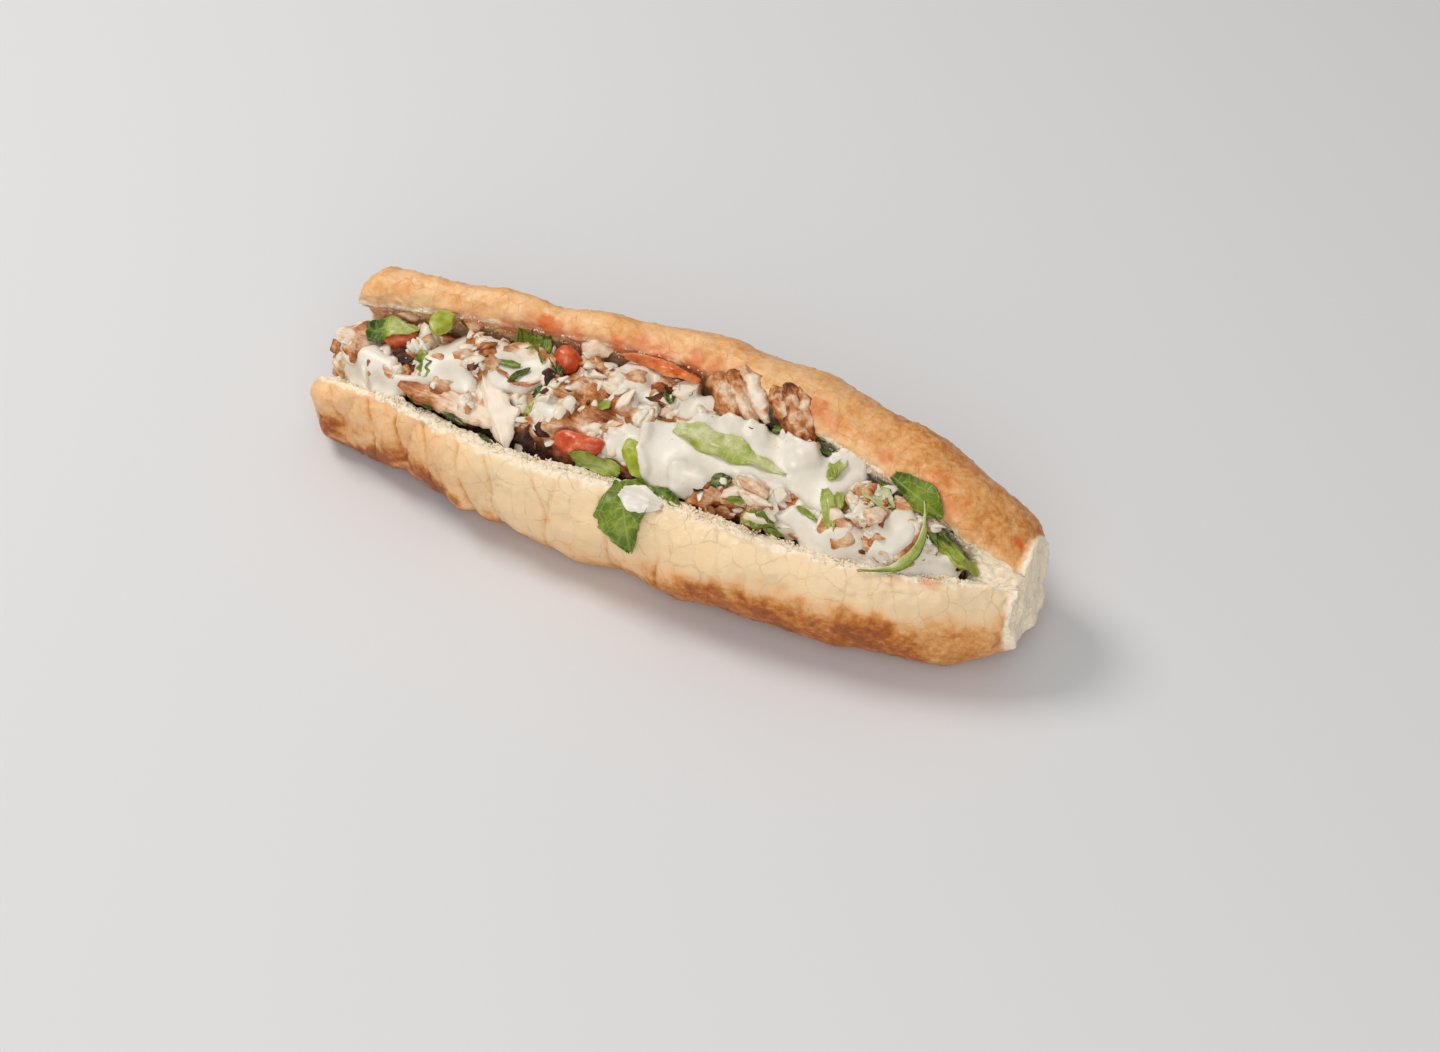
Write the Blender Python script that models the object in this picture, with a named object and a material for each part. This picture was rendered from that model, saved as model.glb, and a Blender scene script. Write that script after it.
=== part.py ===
"""Long bread roll split along its top and filled with chopped chicken, sauce and salad.

The roll lies along X with its open end at -X and its closed, cut end at +X. The front half of
the roll faces -Y and the taller back half faces +Y. The origin is on the resting plane, under
the middle of the roll. Sizes are named in millimetres and turned to metres where points are made.
"""

import math
import random

import bmesh
import bpy
from mathutils import Euler, Matrix, Vector, noise
from mathutils.bvhtree import BVHTree

MM = 0.001

# The roll, in millimetres
ROLL_LENGTH = 280
END_ROUNDING = 9
BACK_HALF_SETBACK = 9
FRONT_HALF_SETBACK = 6
FRONT_RIM_SETBACK = 2.5
SETBACK_LENGTH = 60
TAIL_LIFT = 8
TAIL_FROM = 122
HINGE_HEIGHT = 11
HINGE_Y = 1
FRONT_LIP = 5
BACK_LIP_DROP = 7
SLIT_CLOSES_FROM = 112
SLIT_CLOSED_AT = 127
CLOSED_DEPTH = 0.08
CRUST_RELIEF = 1.3
CRUST_LUMP_LENGTH = 21
RING_SEGMENTS = 40
BODY_STATIONS = 34
CAP_STATIONS = 4

# Cross-sections of the roll at places along X. The front half bulges furthest at (front_y, front_z)
# and ends at its rim, and the back half ends at its edge and bulges furthest at back_y.
SECTION_PLACES = (-140, -100, -50, 0, 50, 90, 120, 140)
SECTION_SIZES = {
    "front_y": (-26, -31.5, -42, -45, -45.5, -40, -31.5, -19),
    "front_z": (17, 20, 22, 24, 24, 23, 21, 21),
    "rim_y": (-20, -26, -33, -31, -32, -30, -20, -10),
    "rim_z": (31, 38, 40, 42, 42, 43, 41, 38),
    "edge_y": (7, 11, 16, 18, 9, 1, -6, -6),
    "edge_z": (46, 50, 55, 59, 59, 55, 47, 40),
    "top_z": (56, 60, 62, 64, 65, 62, 56, 46),
    "back_y": (29, 31, 33, 45, 44, 38.5, 30.5, 20),
}
BASE_FRONT_SHARE = 0.45
BASE_BACK_SHARE = 0.5
CREST_SHARE = 0.4
BACK_BULGE_SHARE = 0.55

# The filling, in millimetres
TOUCH_GAP = 0.35
HEAP_START = -131
HEAP_END = 121
HEAP_BULGE = 5
END_DIP = 6
HEAP_STATIONS = 18
CORE_GAP = 1.4
HEAP_RING = 20
CHUNK_SIZE = 5.2
CHUNK_SPACING = 9.6
CHUNK_ROWS = (0.21, 0.5, 0.79)
LEAF_THICKNESS = 0.8
LEAF_CELL = 4.0
SAUCE_CELL = 5.5
SAUCE_EDGE = 0.8
BOOLEAN_SOLVER = "EXACT"

# Chunks of chicken with a place of their own: x and share across, then length, width and height
NAMED_CHUNKS = {
    "end_chunk": ((-125, 0.55), (11, 10, 8)),
    "cube": ((-34.5, 0.10), (10, 10, 10)),
    "browned_chunk": ((28, 0.93), (14, 8, 8)),
    "pulled_chunk": ((48, 0.84), (20, 9, 7)),
    "spiced_chunk": ((-29, 0.30), (11, 8, 8)),
    "brown_bit": ((88, 0.55), (9, 6, 6)),
}

# Where the larger pieces stand in the chopped chicken: x, share across and how far along they reach
OWN_PIECES = (
    (-109, 0.33, 10),
    (-43, 0.16, 8),
    (-22, 0.85, 10),
    (-57, 0.67, 9),
    (-52, 0.30, 9),
    (-91, 0.17, 7),
    (1, 0.85, 9),
    (71, 0.35, 6),
    (117, 0.6, 9),
    (21, 0.02, 13),
    (43, -0.02, 11),
)

# Pools of sauce: x, the share across at the back edge and at the front edge, and the thickness
SAUCES = {
    "sauce_left": (((-127, 0.55, 0.95), (-112, 0.45, 1.02), (-98, 0.62, 0.90)), 3.0),
    "sauce_middle": (((-84, 0.42, 0.88), (-74, 0.25, 0.86), (-66, 0.16, 0.60)), 2.6),
    "sauce_chunks": (((-38, 0.42, 0.72), (-26, 0.36, 0.74), (-12, 0.30, 0.62)), 2.4),
    "sauce_pool": (
        (
            (-7, 0.46, 0.80),
            (8, 0.28, 0.90),
            (28, 0.24, 0.88),
            (48, 0.18, 0.74),
            (66, 0.04, 0.66),
            (76, 0.10, 0.42),
        ),
        3.6,
    ),
    "sauce_front": (((58, 0.78, 0.96), (72, 0.74, 1.06), (84, 0.86, 1.10)), 2.4),
    "sauce_right": (((97, 0.86, 1.12), (106, 0.40, 1.14), (115, 0.36, 1.06)), 2.4),
}


def blend(a, b, t):
    return a + (b - a) * t


def ease(t):
    t = min(1.0, max(0.0, t))
    return t * t * (3 - 2 * t)


def smooth_between(x, places, values):
    """The value at x of a smooth curve through the values at the places."""
    x = min(places[-1], max(places[0], x))
    i = max(k for k in range(len(places) - 1) if places[k] <= x)

    def slope(k):
        low, high = max(0, k - 1), min(len(places) - 1, k + 1)
        return (values[high] - values[low]) / (places[high] - places[low])

    span = places[i + 1] - places[i]
    t = (x - places[i]) / span
    start, end = values[i], values[i + 1]
    return (
        (2 * t**3 - 3 * t**2 + 1) * start
        + (t**3 - 2 * t**2 + t) * span * slope(i)
        + (-2 * t**3 + 3 * t**2) * end
        + (t**3 - t**2) * span * slope(i + 1)
    )


def section(x):
    """The sizes of the roll's cross-section at x, in millimetres."""
    g = {name: smooth_between(x, SECTION_PLACES, v) for name, v in SECTION_SIZES.items()}
    g["base_front"] = BASE_FRONT_SHARE * g["front_y"]
    g["base_back"] = BASE_BACK_SHARE * g["back_y"]
    g["top_y"] = blend(g["edge_y"], g["back_y"], CREST_SHARE)
    g["back_z"] = BACK_BULGE_SHARE * g["top_z"]
    closing = (x - SLIT_CLOSES_FROM) / (SLIT_CLOSED_AT - SLIT_CLOSES_FROM)
    g["depth"] = blend(1.0, CLOSED_DEPTH, ease(closing))
    return g


def arc(start, end, t, upright_start):
    """A quarter of an ellipse from start to end, which leaves start upright or level."""
    fast, slow = math.sin(t * math.pi / 2), 1 - math.cos(t * math.pi / 2)
    across, along = (slow, fast) if upright_start else (fast, slow)
    return (blend(start[0], end[0], across), blend(start[1], end[1], along))


def curve(start, pull, end, t):
    """A point on the curve from start to end that bends towards pull."""
    a = tuple(blend(p, q, t) for p, q in zip(start, pull))
    b = tuple(blend(p, q, t) for p, q in zip(pull, end))
    return tuple(blend(p, q, t) for p, q in zip(a, b))


def crust_point(g, s):
    """The crust's (y, z), from the front rim at s = 0 round under the roll to the back half's edge at 1."""
    rim = (g["rim_y"], g["rim_z"])
    front = (g["front_y"], g["front_z"])
    back = (g["back_y"], g["back_z"])
    top = (g["top_y"], g["top_z"])
    edge = (g["edge_y"], g["edge_z"])
    runs = (
        (0.20, lambda t: arc(front, rim, 1 - t, True)),
        (0.40, lambda t: arc((g["base_front"], 0), front, 1 - t, False)),
        (0.50, lambda t: (blend(g["base_front"], g["base_back"], t), 0)),
        (0.66, lambda t: arc((g["base_back"], 0), back, t, False)),
        (0.86, lambda t: arc(back, top, t, True)),
        (1.00, lambda t: arc(top, edge, t, False)),
    )
    low = 0.0
    for high, run in runs:
        if s <= high:
            return run((s - low) / (high - low))
        low = high
    return edge


def lips(g):
    """The inner corners of the two crumb lips, and the hinge between the halves."""
    front = (g["rim_y"] + FRONT_LIP, g["rim_z"] - 1.5)
    back = (g["edge_y"] + 2, g["edge_z"] - BACK_LIP_DROP)
    return front, (HINGE_Y, HINGE_HEIGHT), back


def crumb_point(g, s):
    """The (y, z) of the crumb inside the slit, from the front rim at s = 0 to the back half's edge at 1."""
    front, hinge, back = lips(g)
    rim, edge = (g["rim_y"], g["rim_z"]), (g["edge_y"], g["edge_z"])
    front_pull = (front[0] + 1, 0.4 * front[1])
    back_pull = (back[0] + 5, 0.5 * back[1])
    if s < 0.10:
        y, z = (blend(p, q, s / 0.10) for p, q in zip(rim, front))
    elif s < 0.50:
        y, z = curve(front, front_pull, hinge, (s - 0.10) / 0.40)
    elif s < 0.88:
        y, z = curve(hinge, back_pull, back, (s - 0.50) / 0.38)
    else:
        y, z = (blend(p, q, (s - 0.88) / 0.12) for p, q in zip(back, edge))
    chord = tuple(blend(p, q, s) for p, q in zip(rim, edge))
    return blend(chord[0], y, g["depth"]), blend(chord[1], z, g["depth"])


def grid_tube(name, ring_points, segments):
    """A closed surface through rings of points. Its first and last rings are folded flat, which closes it."""
    bm = bmesh.new()
    bmesh.ops.create_grid(bm, x_segments=len(ring_points) - 1, y_segments=segments, size=1)
    for v in bm.verts:
        i = round((v.co.x + 1) / 2 * (len(ring_points) - 1))
        j = round((v.co.y + 1) / 2 * segments)
        v.co = ring_points[i][j % segments]
    bmesh.ops.remove_doubles(bm, verts=bm.verts, dist=0.02 * MM)
    bmesh.ops.recalc_face_normals(bm, faces=bm.faces)
    bmesh.ops.triangulate(bm, faces=bm.faces)
    return new_object(name, bm)


def new_object(name, bm):
    mesh = bpy.data.meshes.new(name)
    bm.to_mesh(mesh)
    bm.free()
    made = bpy.data.objects.new(name, mesh)
    bpy.context.scene.collection.objects.link(made)
    return made


def roll_stations():
    """(x, opening) for each ring of the roll. Opening is 0 where a ring is folded shut at an end."""
    half = ROLL_LENGTH / 2
    for i in range(CAP_STATIONS):
        turn = i / CAP_STATIONS * math.pi / 2
        yield -half + END_ROUNDING * (1 - math.cos(turn)), math.sin(turn)
    for i in range(BODY_STATIONS + 1):
        yield blend(-half + END_ROUNDING, half, i / BODY_STATIONS), 1.0
    for i in range(1, CAP_STATIONS):
        yield half, 1 - i / (CAP_STATIONS - 1)


def roll_ring(x, opening):
    """One ring of the roll: the crust from rim to edge, then the crumb back again."""
    g = section(x)
    half = RING_SEGMENTS // 2
    ring = []
    for j in range(RING_SEGMENTS):
        s = j / half if j <= half else (RING_SEGMENTS - j) / half
        crust, crumb = crust_point(g, s), crumb_point(g, s)
        middle = tuple((p + q) / 2 for p, q in zip(crust, crumb))
        y, z = crust if j <= half else crumb
        y, z = blend(middle[0], y, opening), blend(middle[1], z, opening)
        near_end = ease(1 - (x + ROLL_LENGTH / 2) / SETBACK_LENGTH)
        setback = BACK_HALF_SETBACK * near_end * ease((s - 0.45) / 0.4)
        setback += FRONT_HALF_SETBACK * near_end * ease((0.45 - s) / 0.3)
        setback += FRONT_RIM_SETBACK * near_end * ease((0.12 - s) / 0.12)
        z += TAIL_LIFT * ease((x - TAIL_FROM) / 18) * max(0.0, 1 - z / 28) ** 1.5
        ring.append(Vector((x + setback, y, z)) * MM)
    return ring


def make_roll():
    rings = [roll_ring(x, opening) for x, opening in roll_stations()]
    roll = grid_tube("roll", rings, RING_SEGMENTS)
    add_crust_relief(roll)
    return roll


def crust_share(x, y, z):
    """1 on the crust and 0 on the crumb and the base, fading between them."""
    g = section(x)
    nearest = min(
        math.dist((y, z), crumb_point(g, i / 24)) for i in range(1, 24)
    )
    return ease((nearest - 1.0) / 3.0) * ease(z / 8)


def add_crust_relief(roll):
    """Moves the crust in and out by the low lumps that baking leaves."""
    mesh = roll.data
    normals = [v.normal.copy() for v in mesh.vertices]
    for v, normal in zip(mesh.vertices, normals):
        x, y, z = v.co / MM
        if abs(x) > ROLL_LENGTH / 2 - 0.5:
            continue
        lump = noise.noise(Vector((x, y, z)) / CRUST_LUMP_LENGTH)
        v.co += normal * lump * CRUST_RELIEF * 2 * crust_share(x, y, z) * MM


def heap_top(g, t, bulge):
    """The (y, z) of the filling's mean top, from the back half at t = 0 to the front rim at 1."""
    front, _, back = lips(g)
    start = (back[0] - 2.0, back[1] - 0.5)
    end = (front[0] + 1.2, front[1] - 0.5)
    length = math.dist(start, end)
    rise = bulge * 4 * t * (1 - t)
    lean = ((start[1] - end[1]) / length, (start[0] - end[0]) / length)
    return (
        blend(start[0], end[0], t) - rise * lean[0],
        blend(start[1], end[1], t) + rise * lean[1],
    )


def heap_ring(x, opening):
    """One ring of the filling's core: down one side of the slit, up the other and back over the top."""
    g = section(x)
    front, hinge, back = lips(g)
    centre = ((front[0] + back[0]) / 2, (front[1] + back[1] + hinge[1]) / 3 + 4)
    half = HEAP_RING // 2
    ring = []
    for j in range(HEAP_RING):
        i = j if j <= half else HEAP_RING - j
        below = crumb_point(g, blend(0.14, 0.86, i / half))
        reach = math.dist(below, centre)
        below = tuple(blend(p, q, min(0.6, CORE_GAP / reach)) for p, q in zip(below, centre))
        above = heap_top(g, blend(0.96, 0.04, i / half), HEAP_BULGE)
        t = blend(0.96, 0.04, i / half)
        above = (above[0], above[1] - END_DIP * ease((-116 - x) / 10) * ease((0.55 - t) / 0.3))
        middle = tuple((p + q) / 2 for p, q in zip(below, above))
        y, z = below if j <= half else above
        ring.append(Vector((x, blend(middle[0], y, opening), blend(middle[1], z, opening))))
    return ring


def heap_stations():
    for i in range(CAP_STATIONS):
        turn = i / CAP_STATIONS * math.pi / 2
        yield HEAP_START + END_ROUNDING * (1 - math.cos(turn)), math.sin(turn)
    for i in range(HEAP_STATIONS + 1):
        yield blend(HEAP_START + END_ROUNDING, HEAP_END - END_ROUNDING, i / HEAP_STATIONS), 1.0
    for i in range(1, CAP_STATIONS + 1):
        turn = (1 - i / CAP_STATIONS) * math.pi / 2
        yield HEAP_END - END_ROUNDING * (1 - math.cos(turn)), math.sin(turn)


def seat(x, t, bulge=HEAP_BULGE):
    """A frame on the filling's top. Its axes point along the roll, towards the back half, and outwards."""
    g = section(x)
    here = heap_top(g, t, bulge)
    ahead = heap_top(g, t + 0.02, bulge)
    back = Vector((0, here[0] - ahead[0], here[1] - ahead[1])).normalized()
    along = Vector((1, 0, 0))
    return frame_from(Vector((x, *here)), along, along.cross(back))


def frame_from(origin, along, out):
    out = out.normalized()
    side = out.cross(along).normalized()
    turn = Matrix((side.cross(out), side, out)).transposed()
    return Matrix.Translation(origin) @ turn.to_4x4()


def between(start, end, tilt=0.0):
    """A frame half-way from one seat to another, with its first axis along the line between them."""
    a, b = seat(*start), seat(*end)
    out = (a.col[2] + b.col[2]).xyz
    made = frame_from((a.translation + b.translation) / 2, b.translation - a.translation, out)
    return made @ Matrix.Rotation(math.radians(tilt), 4, "X")


def tree(objects, grow=0.0, move=Vector((0, 0, 0))):
    """A search tree of the objects' triangles in millimetres, grown outwards and moved."""
    points, faces = [], []
    for o in objects:
        first = len(points)
        points += [v.co / MM + v.normal * grow + move for v in o.data.vertices]
        faces += [[first + k for k in p.vertices] for p in o.data.polygons]
    return BVHTree.FromPolygons(points, faces)


def settle(piece, out, others):
    """Moves the piece outwards until it is clear of the others."""
    obstacles = tree(others)
    lift = 0.0
    while lift < 20 and tree([piece], TOUCH_GAP, out * lift).overlap(obstacles):
        lift += 0.2
    for v in piece.data.vertices:
        v.co += out * lift * MM
    print(f"{piece.name} moved out {lift:.1f} mm")


def ragged(bm, amount, length, seed):
    """Roughens a mesh in millimetres by smooth noise along its normals."""
    bm.normal_update()
    shift = Vector((seed * 7.3, seed * 3.1, seed * 5.7))
    for v in bm.verts:
        v.co += v.normal * amount * noise.noise(v.co / length + shift)


def chunk(name, frame, size, seed):
    """A chopped piece of meat: a block with its corners worn in and its faces uneven."""
    rng = random.Random(seed)
    bm = bmesh.new()
    bmesh.ops.create_cube(bm, size=1)
    bmesh.ops.subdivide_edges(bm, edges=bm.edges, cuts=1, use_grid_fill=True)
    for v in bm.verts:
        v.co = blend(v.co, v.co.normalized() * 0.5, 0.45)
        v.co *= 1 + rng.uniform(-0.16, 0.16)
        v.co = Vector(a * b for a, b in zip(v.co, size))
    bmesh.ops.transform(bm, matrix=frame, verts=bm.verts)
    bmesh.ops.triangulate(bm, faces=bm.faces)
    return finish(name, bm)


def slab(name, frame, size, bend=0.0, point=0.5, rough=0.8, seed=1, cells=(7, 3)):
    """A slice: an outline with rounded ends, made thick, then bent about the axis across its length."""
    length, width, thickness = size
    bm = bmesh.new()
    bmesh.ops.create_grid(bm, x_segments=cells[0], y_segments=cells[1], size=1)
    shift = Vector((seed * 4.1, seed * 2.3, 0))
    for v in bm.verts:
        u = v.co.x
        narrow = (1 - 0.86 * abs(u) ** 4) * blend(1.0, 1 - point * (u + 1) / 2, 0.5)
        wobble = 1 + 0.22 * noise.noise(Vector((u * 1.7, v.co.y, 0)) + shift)
        v.co = Vector((u * length / 2, v.co.y * width / 2 * narrow * wobble, 0))
    bmesh.ops.triangulate(bm, faces=bm.faces)
    lower = list(bm.verts)
    made = bmesh.ops.extrude_face_region(bm, geom=list(bm.faces), use_keep_orig=True)
    upper = [v for v in made["geom"] if isinstance(v, bmesh.types.BMVert)]
    bmesh.ops.translate(bm, verts=upper, vec=(0, 0, thickness))
    bmesh.ops.translate(bm, verts=lower + upper, vec=(0, 0, -thickness / 2))
    bmesh.ops.recalc_face_normals(bm, faces=bm.faces)
    ragged(bm, rough, 5.0, seed)
    if bend:
        radius = length / math.radians(bend)
        for v in bm.verts:
            turn = v.co.x / radius
            reach = radius + v.co.z
            v.co = Vector((reach * math.sin(turn), v.co.y, reach * math.cos(turn) - radius))
    bmesh.ops.transform(bm, matrix=frame, verts=bm.verts)
    bmesh.ops.triangulate(bm, faces=bm.faces)
    return finish(name, bm)


def wedge(name, frame, size, cut, seed):
    """A chopped piece of tomato: a rounded body with its skin outwards, cut flat on one side."""
    bm = bmesh.new()
    bmesh.ops.create_icosphere(bm, subdivisions=2, radius=0.5)
    ragged(bm, 0.05, 0.5, seed)
    whole = list(bm.verts) + list(bm.edges) + list(bm.faces)
    made = bmesh.ops.bisect_plane(
        bm, geom=whole, plane_co=(0, cut, 0), plane_no=(0.1, 1, 0.15), clear_outer=True
    )
    rim = [e for e in made["geom_cut"] if isinstance(e, bmesh.types.BMEdge)]
    bmesh.ops.holes_fill(bm, edges=rim)
    bmesh.ops.scale(bm, vec=size, verts=bm.verts)
    bmesh.ops.transform(bm, matrix=frame, verts=bm.verts)
    bmesh.ops.recalc_face_normals(bm, faces=bm.faces)
    bmesh.ops.triangulate(bm, faces=bm.faces)
    return finish(name, bm)


def finish(name, bm):
    bmesh.ops.scale(bm, vec=(MM, MM, MM), verts=bm.verts)
    return new_object(name, bm)


def lie_on(below, origin, out):
    """How far outwards from origin the topmost surface lies, or a little inwards where there is none."""
    hit = below.ray_cast(origin + out * 40, -out)
    return -4.0 if hit[0] is None else 40 - hit[3]


def drape(name, places, below, thickness, rounds, wave):
    """A solid laid over what is below it. Places is a grid of (origin, outward direction)."""
    rows, cols = len(places), len(places[0])
    heights = [[lie_on(below, *places[i][j]) for j in range(cols)] for i in range(rows)]
    floor = [row[:] for row in heights]
    for i in range(rows):
        for j in range(cols):
            for k, m in ((1, 0), (-1, 0), (0, 1), (0, -1)):
                if 0 <= i + k < rows and 0 <= j + m < cols:
                    origin = (places[i][j][0] + places[i + k][j + m][0]) / 2
                    found = lie_on(below, origin, places[i][j][1])
                    floor[i][j] = max(floor[i][j], found)
    heights = [row[:] for row in floor]
    for _ in range(rounds):
        softer = [row[:] for row in heights]
        for i in range(rows):
            for j in range(cols):
                near = [
                    heights[i + k][j + m]
                    for k, m in ((1, 0), (-1, 0), (0, 1), (0, -1))
                    if 0 <= i + k < rows and 0 <= j + m < cols
                ]
                softer[i][j] = max(floor[i][j], sum(near) / len(near))
        heights = softer
    bm = bmesh.new()
    bmesh.ops.create_grid(bm, x_segments=rows - 1, y_segments=cols - 1, size=1)
    spots = {}
    for v in bm.verts:
        i = round((v.co.x + 1) / 2 * (rows - 1))
        j = round((v.co.y + 1) / 2 * (cols - 1))
        origin, out = places[i][j]
        v.co = origin + out * (heights[i][j] + TOUCH_GAP + wave(i / (rows - 1), j / (cols - 1)))
        spots[v.index] = (out, thickness(i / (rows - 1), j / (cols - 1)))
    bmesh.ops.triangulate(bm, faces=bm.faces)
    flat = len(bm.verts)
    bm.verts.ensure_lookup_table()
    lifts = [spots[k] for k in range(flat)]
    first = [v.co.copy() for v in bm.verts]
    made = bmesh.ops.extrude_face_region(bm, geom=list(bm.faces), use_keep_orig=True)
    by_place = {tuple(round(c, 4) for c in p): lift for p, lift in zip(first, lifts)}
    for v in made["geom"]:
        if isinstance(v, bmesh.types.BMVert):
            out, rise = by_place[tuple(round(c, 4) for c in v.co)]
            v.co += out * rise
    bmesh.ops.recalc_face_normals(bm, faces=bm.faces)
    piece = finish(name, bm)
    clear_of(piece, below, places[rows // 2][cols // 2][1])
    return piece


def clear_of(piece, below, out):
    lift = 0.0
    while lift < 8 and tree([piece], TOUCH_GAP * 0.6, out * lift).overlap(below):
        lift += 0.1
    for v in piece.data.vertices:
        v.co += out * lift * MM
    print(f"{piece.name} lifted {lift:.1f} mm")


def leaf(name, frame, size, below, wave=1.0, tip=0.6, seed=1, thickness=LEAF_THICKNESS, bow=0.0):
    """A leaf or thin slice laid over the filling: an outline with uneven edges, waved between its edges."""
    length, width = size
    rows = max(5, round(length / LEAF_CELL))
    cols = max(4, round(width / LEAF_CELL))
    out = frame.to_3x3() @ Vector((0, 0, 1))
    places = []
    for i in range(rows + 1):
        u = i / rows
        half = width / 2 * (0.16 + 0.84 * math.sin(math.pi * blend(0.08, 0.97, u**tip)))
        row = []
        for j in range(cols + 1):
            v = 2 * j / cols - 1
            notch = 1 + 0.22 * noise.noise(Vector((u * 4, v, seed * 3.7)))
            spot = Vector((length * (u - 0.5), half * v * notch + bow * 4 * u * (1 - u), 0))
            row.append((frame @ spot, out))
        places.append(row)

    def rise(u, v):
        return wave * (1 + math.sin(seed + 9 * u + 2.5 * v)) * abs(2 * v - 1)

    return drape(name, places, below, lambda u, v: thickness, 3, rise)


def sauce(name, stations, depth, below):
    """Sauce over the filling, thick in the middle and thin and scalloped at its edges."""
    xs = [s[0] for s in stations]
    rows = max(5, round((xs[-1] - xs[0]) / SAUCE_CELL))
    widest = max(s[2] - s[1] for s in stations) * 42
    cols = max(4, round(widest / SAUCE_CELL))
    places = []
    for i in range(rows + 1):
        x = blend(xs[0], xs[-1], i / rows)
        back = smooth_between(x, xs, [s[1] for s in stations])
        front = smooth_between(x, xs, [s[2] for s in stations])
        end = min(i, rows - i) / rows
        middle = (back + front) / 2
        half = (front - back) / 2 * (0.55 + 0.45 * ease(end * 4))
        row = []
        for j in range(cols + 1):
            v = 2 * j / cols - 1
            swing = 0.16 * noise.noise(Vector((x / 9, v * 2, len(name))))
            along = x + 3.5 * noise.noise(Vector((v * 2.2, x / 30, len(name) + 5)))
            here = seat(along, middle + half * v * (1 + swing * abs(v)))
            row.append((here.translation, here.col[2].xyz))
        places.append(row)

    def thickness(u, v):
        edge = min(1.0, 4.5 * min(u, 1 - u, v, 1 - v))
        return blend(SAUCE_EDGE, depth, ease(edge) ** 0.5)

    return drape(name, places, below, thickness, 8, lambda u, v: 0.0)


def join_with(base, name, operation, parts):
    """One Boolean of the base with a collection of parts, which is applied. The parts are then removed."""
    group = bpy.data.collections.new(name)
    bpy.context.scene.collection.children.link(group)
    for part in parts:
        bpy.context.scene.collection.objects.unlink(part)
        group.objects.link(part)
        part.hide_render = True
        part.display_type = "WIRE"
    change = base.modifiers.new(name, "BOOLEAN")
    change.operation = operation
    change.solver = BOOLEAN_SOLVER
    change.operand_type = "COLLECTION"
    change.collection = group
    bpy.context.view_layer.update()
    result = bpy.data.meshes.new_from_object(base.evaluated_get(bpy.context.evaluated_depsgraph_get()))
    base.modifiers.clear()
    base.data = result
    for part in list(group.objects):
        bpy.data.objects.remove(part)
    bpy.data.collections.remove(group)


def keep_largest(piece):
    """Drops loose scraps, so that the piece is one body."""
    bm = bmesh.new()
    bm.from_mesh(piece.data)
    bmesh.ops.remove_doubles(bm, verts=bm.verts, dist=0.01 * MM)
    bmesh.ops.dissolve_limit(bm, angle_limit=math.radians(4), verts=bm.verts, edges=bm.edges)
    bmesh.ops.triangulate(bm, faces=bm.faces)
    left = set(bm.verts)
    islands = []
    while left:
        island = []
        queue = [left.pop()]
        while queue:
            v = queue.pop()
            island.append(v)
            for e in v.link_edges:
                other = e.other_vert(v)
                if other in left:
                    left.remove(other)
                    queue.append(other)
        islands.append(island)
    largest = max(islands, key=len)
    for island in islands:
        if island is not largest:
            bmesh.ops.delete(bm, geom=island, context="VERTS")
    bm.to_mesh(piece.data)
    bm.free()


def grown_copy(source, grow):
    """A copy of a piece, grown outwards, that cuts its pocket in the filling."""
    copy = source.copy()
    copy.data = source.data.copy()
    normals = [v.normal.copy() for v in copy.data.vertices]
    for v, normal in zip(copy.data.vertices, normals):
        v.co += normal * grow * MM
    bpy.context.scene.collection.objects.link(copy)
    return copy


def taken(x, t):
    """Whether thick sauce or a piece of its own is there, so that no chunk shows."""
    for at_x, at_t, reach in OWN_PIECES:
        if abs(x - at_x) < reach and abs(t - at_t) < 0.24:
            return True
    return (0 < x < 66 and 0.3 < t < 0.78) or (x < -117 and t < 0.4)


def make_heap(roll, inserts):
    """The chopped chicken: a core with the chunks that show, cut to clear the roll and the other pieces."""
    rings = [heap_ring(x, opening) for x, opening in heap_stations()]
    heap = grid_tube("chicken_heap", [[p * MM for p in ring] for ring in rings], HEAP_RING)
    rng = random.Random(11)
    chunks = []
    x = HEAP_START + 4
    while x < HEAP_END - 14:
        for row in CHUNK_ROWS:
            place = x + rng.uniform(-3, 3)
            t = row + rng.uniform(-0.07, 0.07)
            size = [CHUNK_SIZE * 2 * rng.uniform(0.75, 1.3) for _ in range(3)]
            turn = Euler([rng.uniform(-0.6, 0.6) for _ in range(3)]).to_matrix().to_4x4()
            if not taken(place, t):
                chunks.append(chunk("chunk", seat(place, t) @ turn, size, rng.randint(1, 999)))
        x += CHUNK_SPACING
    for k, (place, size) in enumerate(NAMED_CHUNKS.values()):
        turn = Euler((0.3, -0.2, 0.5 * k)).to_matrix().to_4x4()
        chunks.append(chunk("chunk", seat(*place) @ turn, size, k))
    join_with(heap, "chunks", "UNION", chunks)
    cutters = [grown_copy(o, TOUCH_GAP) for o in [roll] + inserts]
    join_with(heap, "pockets", "DIFFERENCE", cutters)
    keep_largest(heap)
    return heap


def sunk(frame, depth):
    return frame @ Matrix.Translation((0, 0, -depth))


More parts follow.
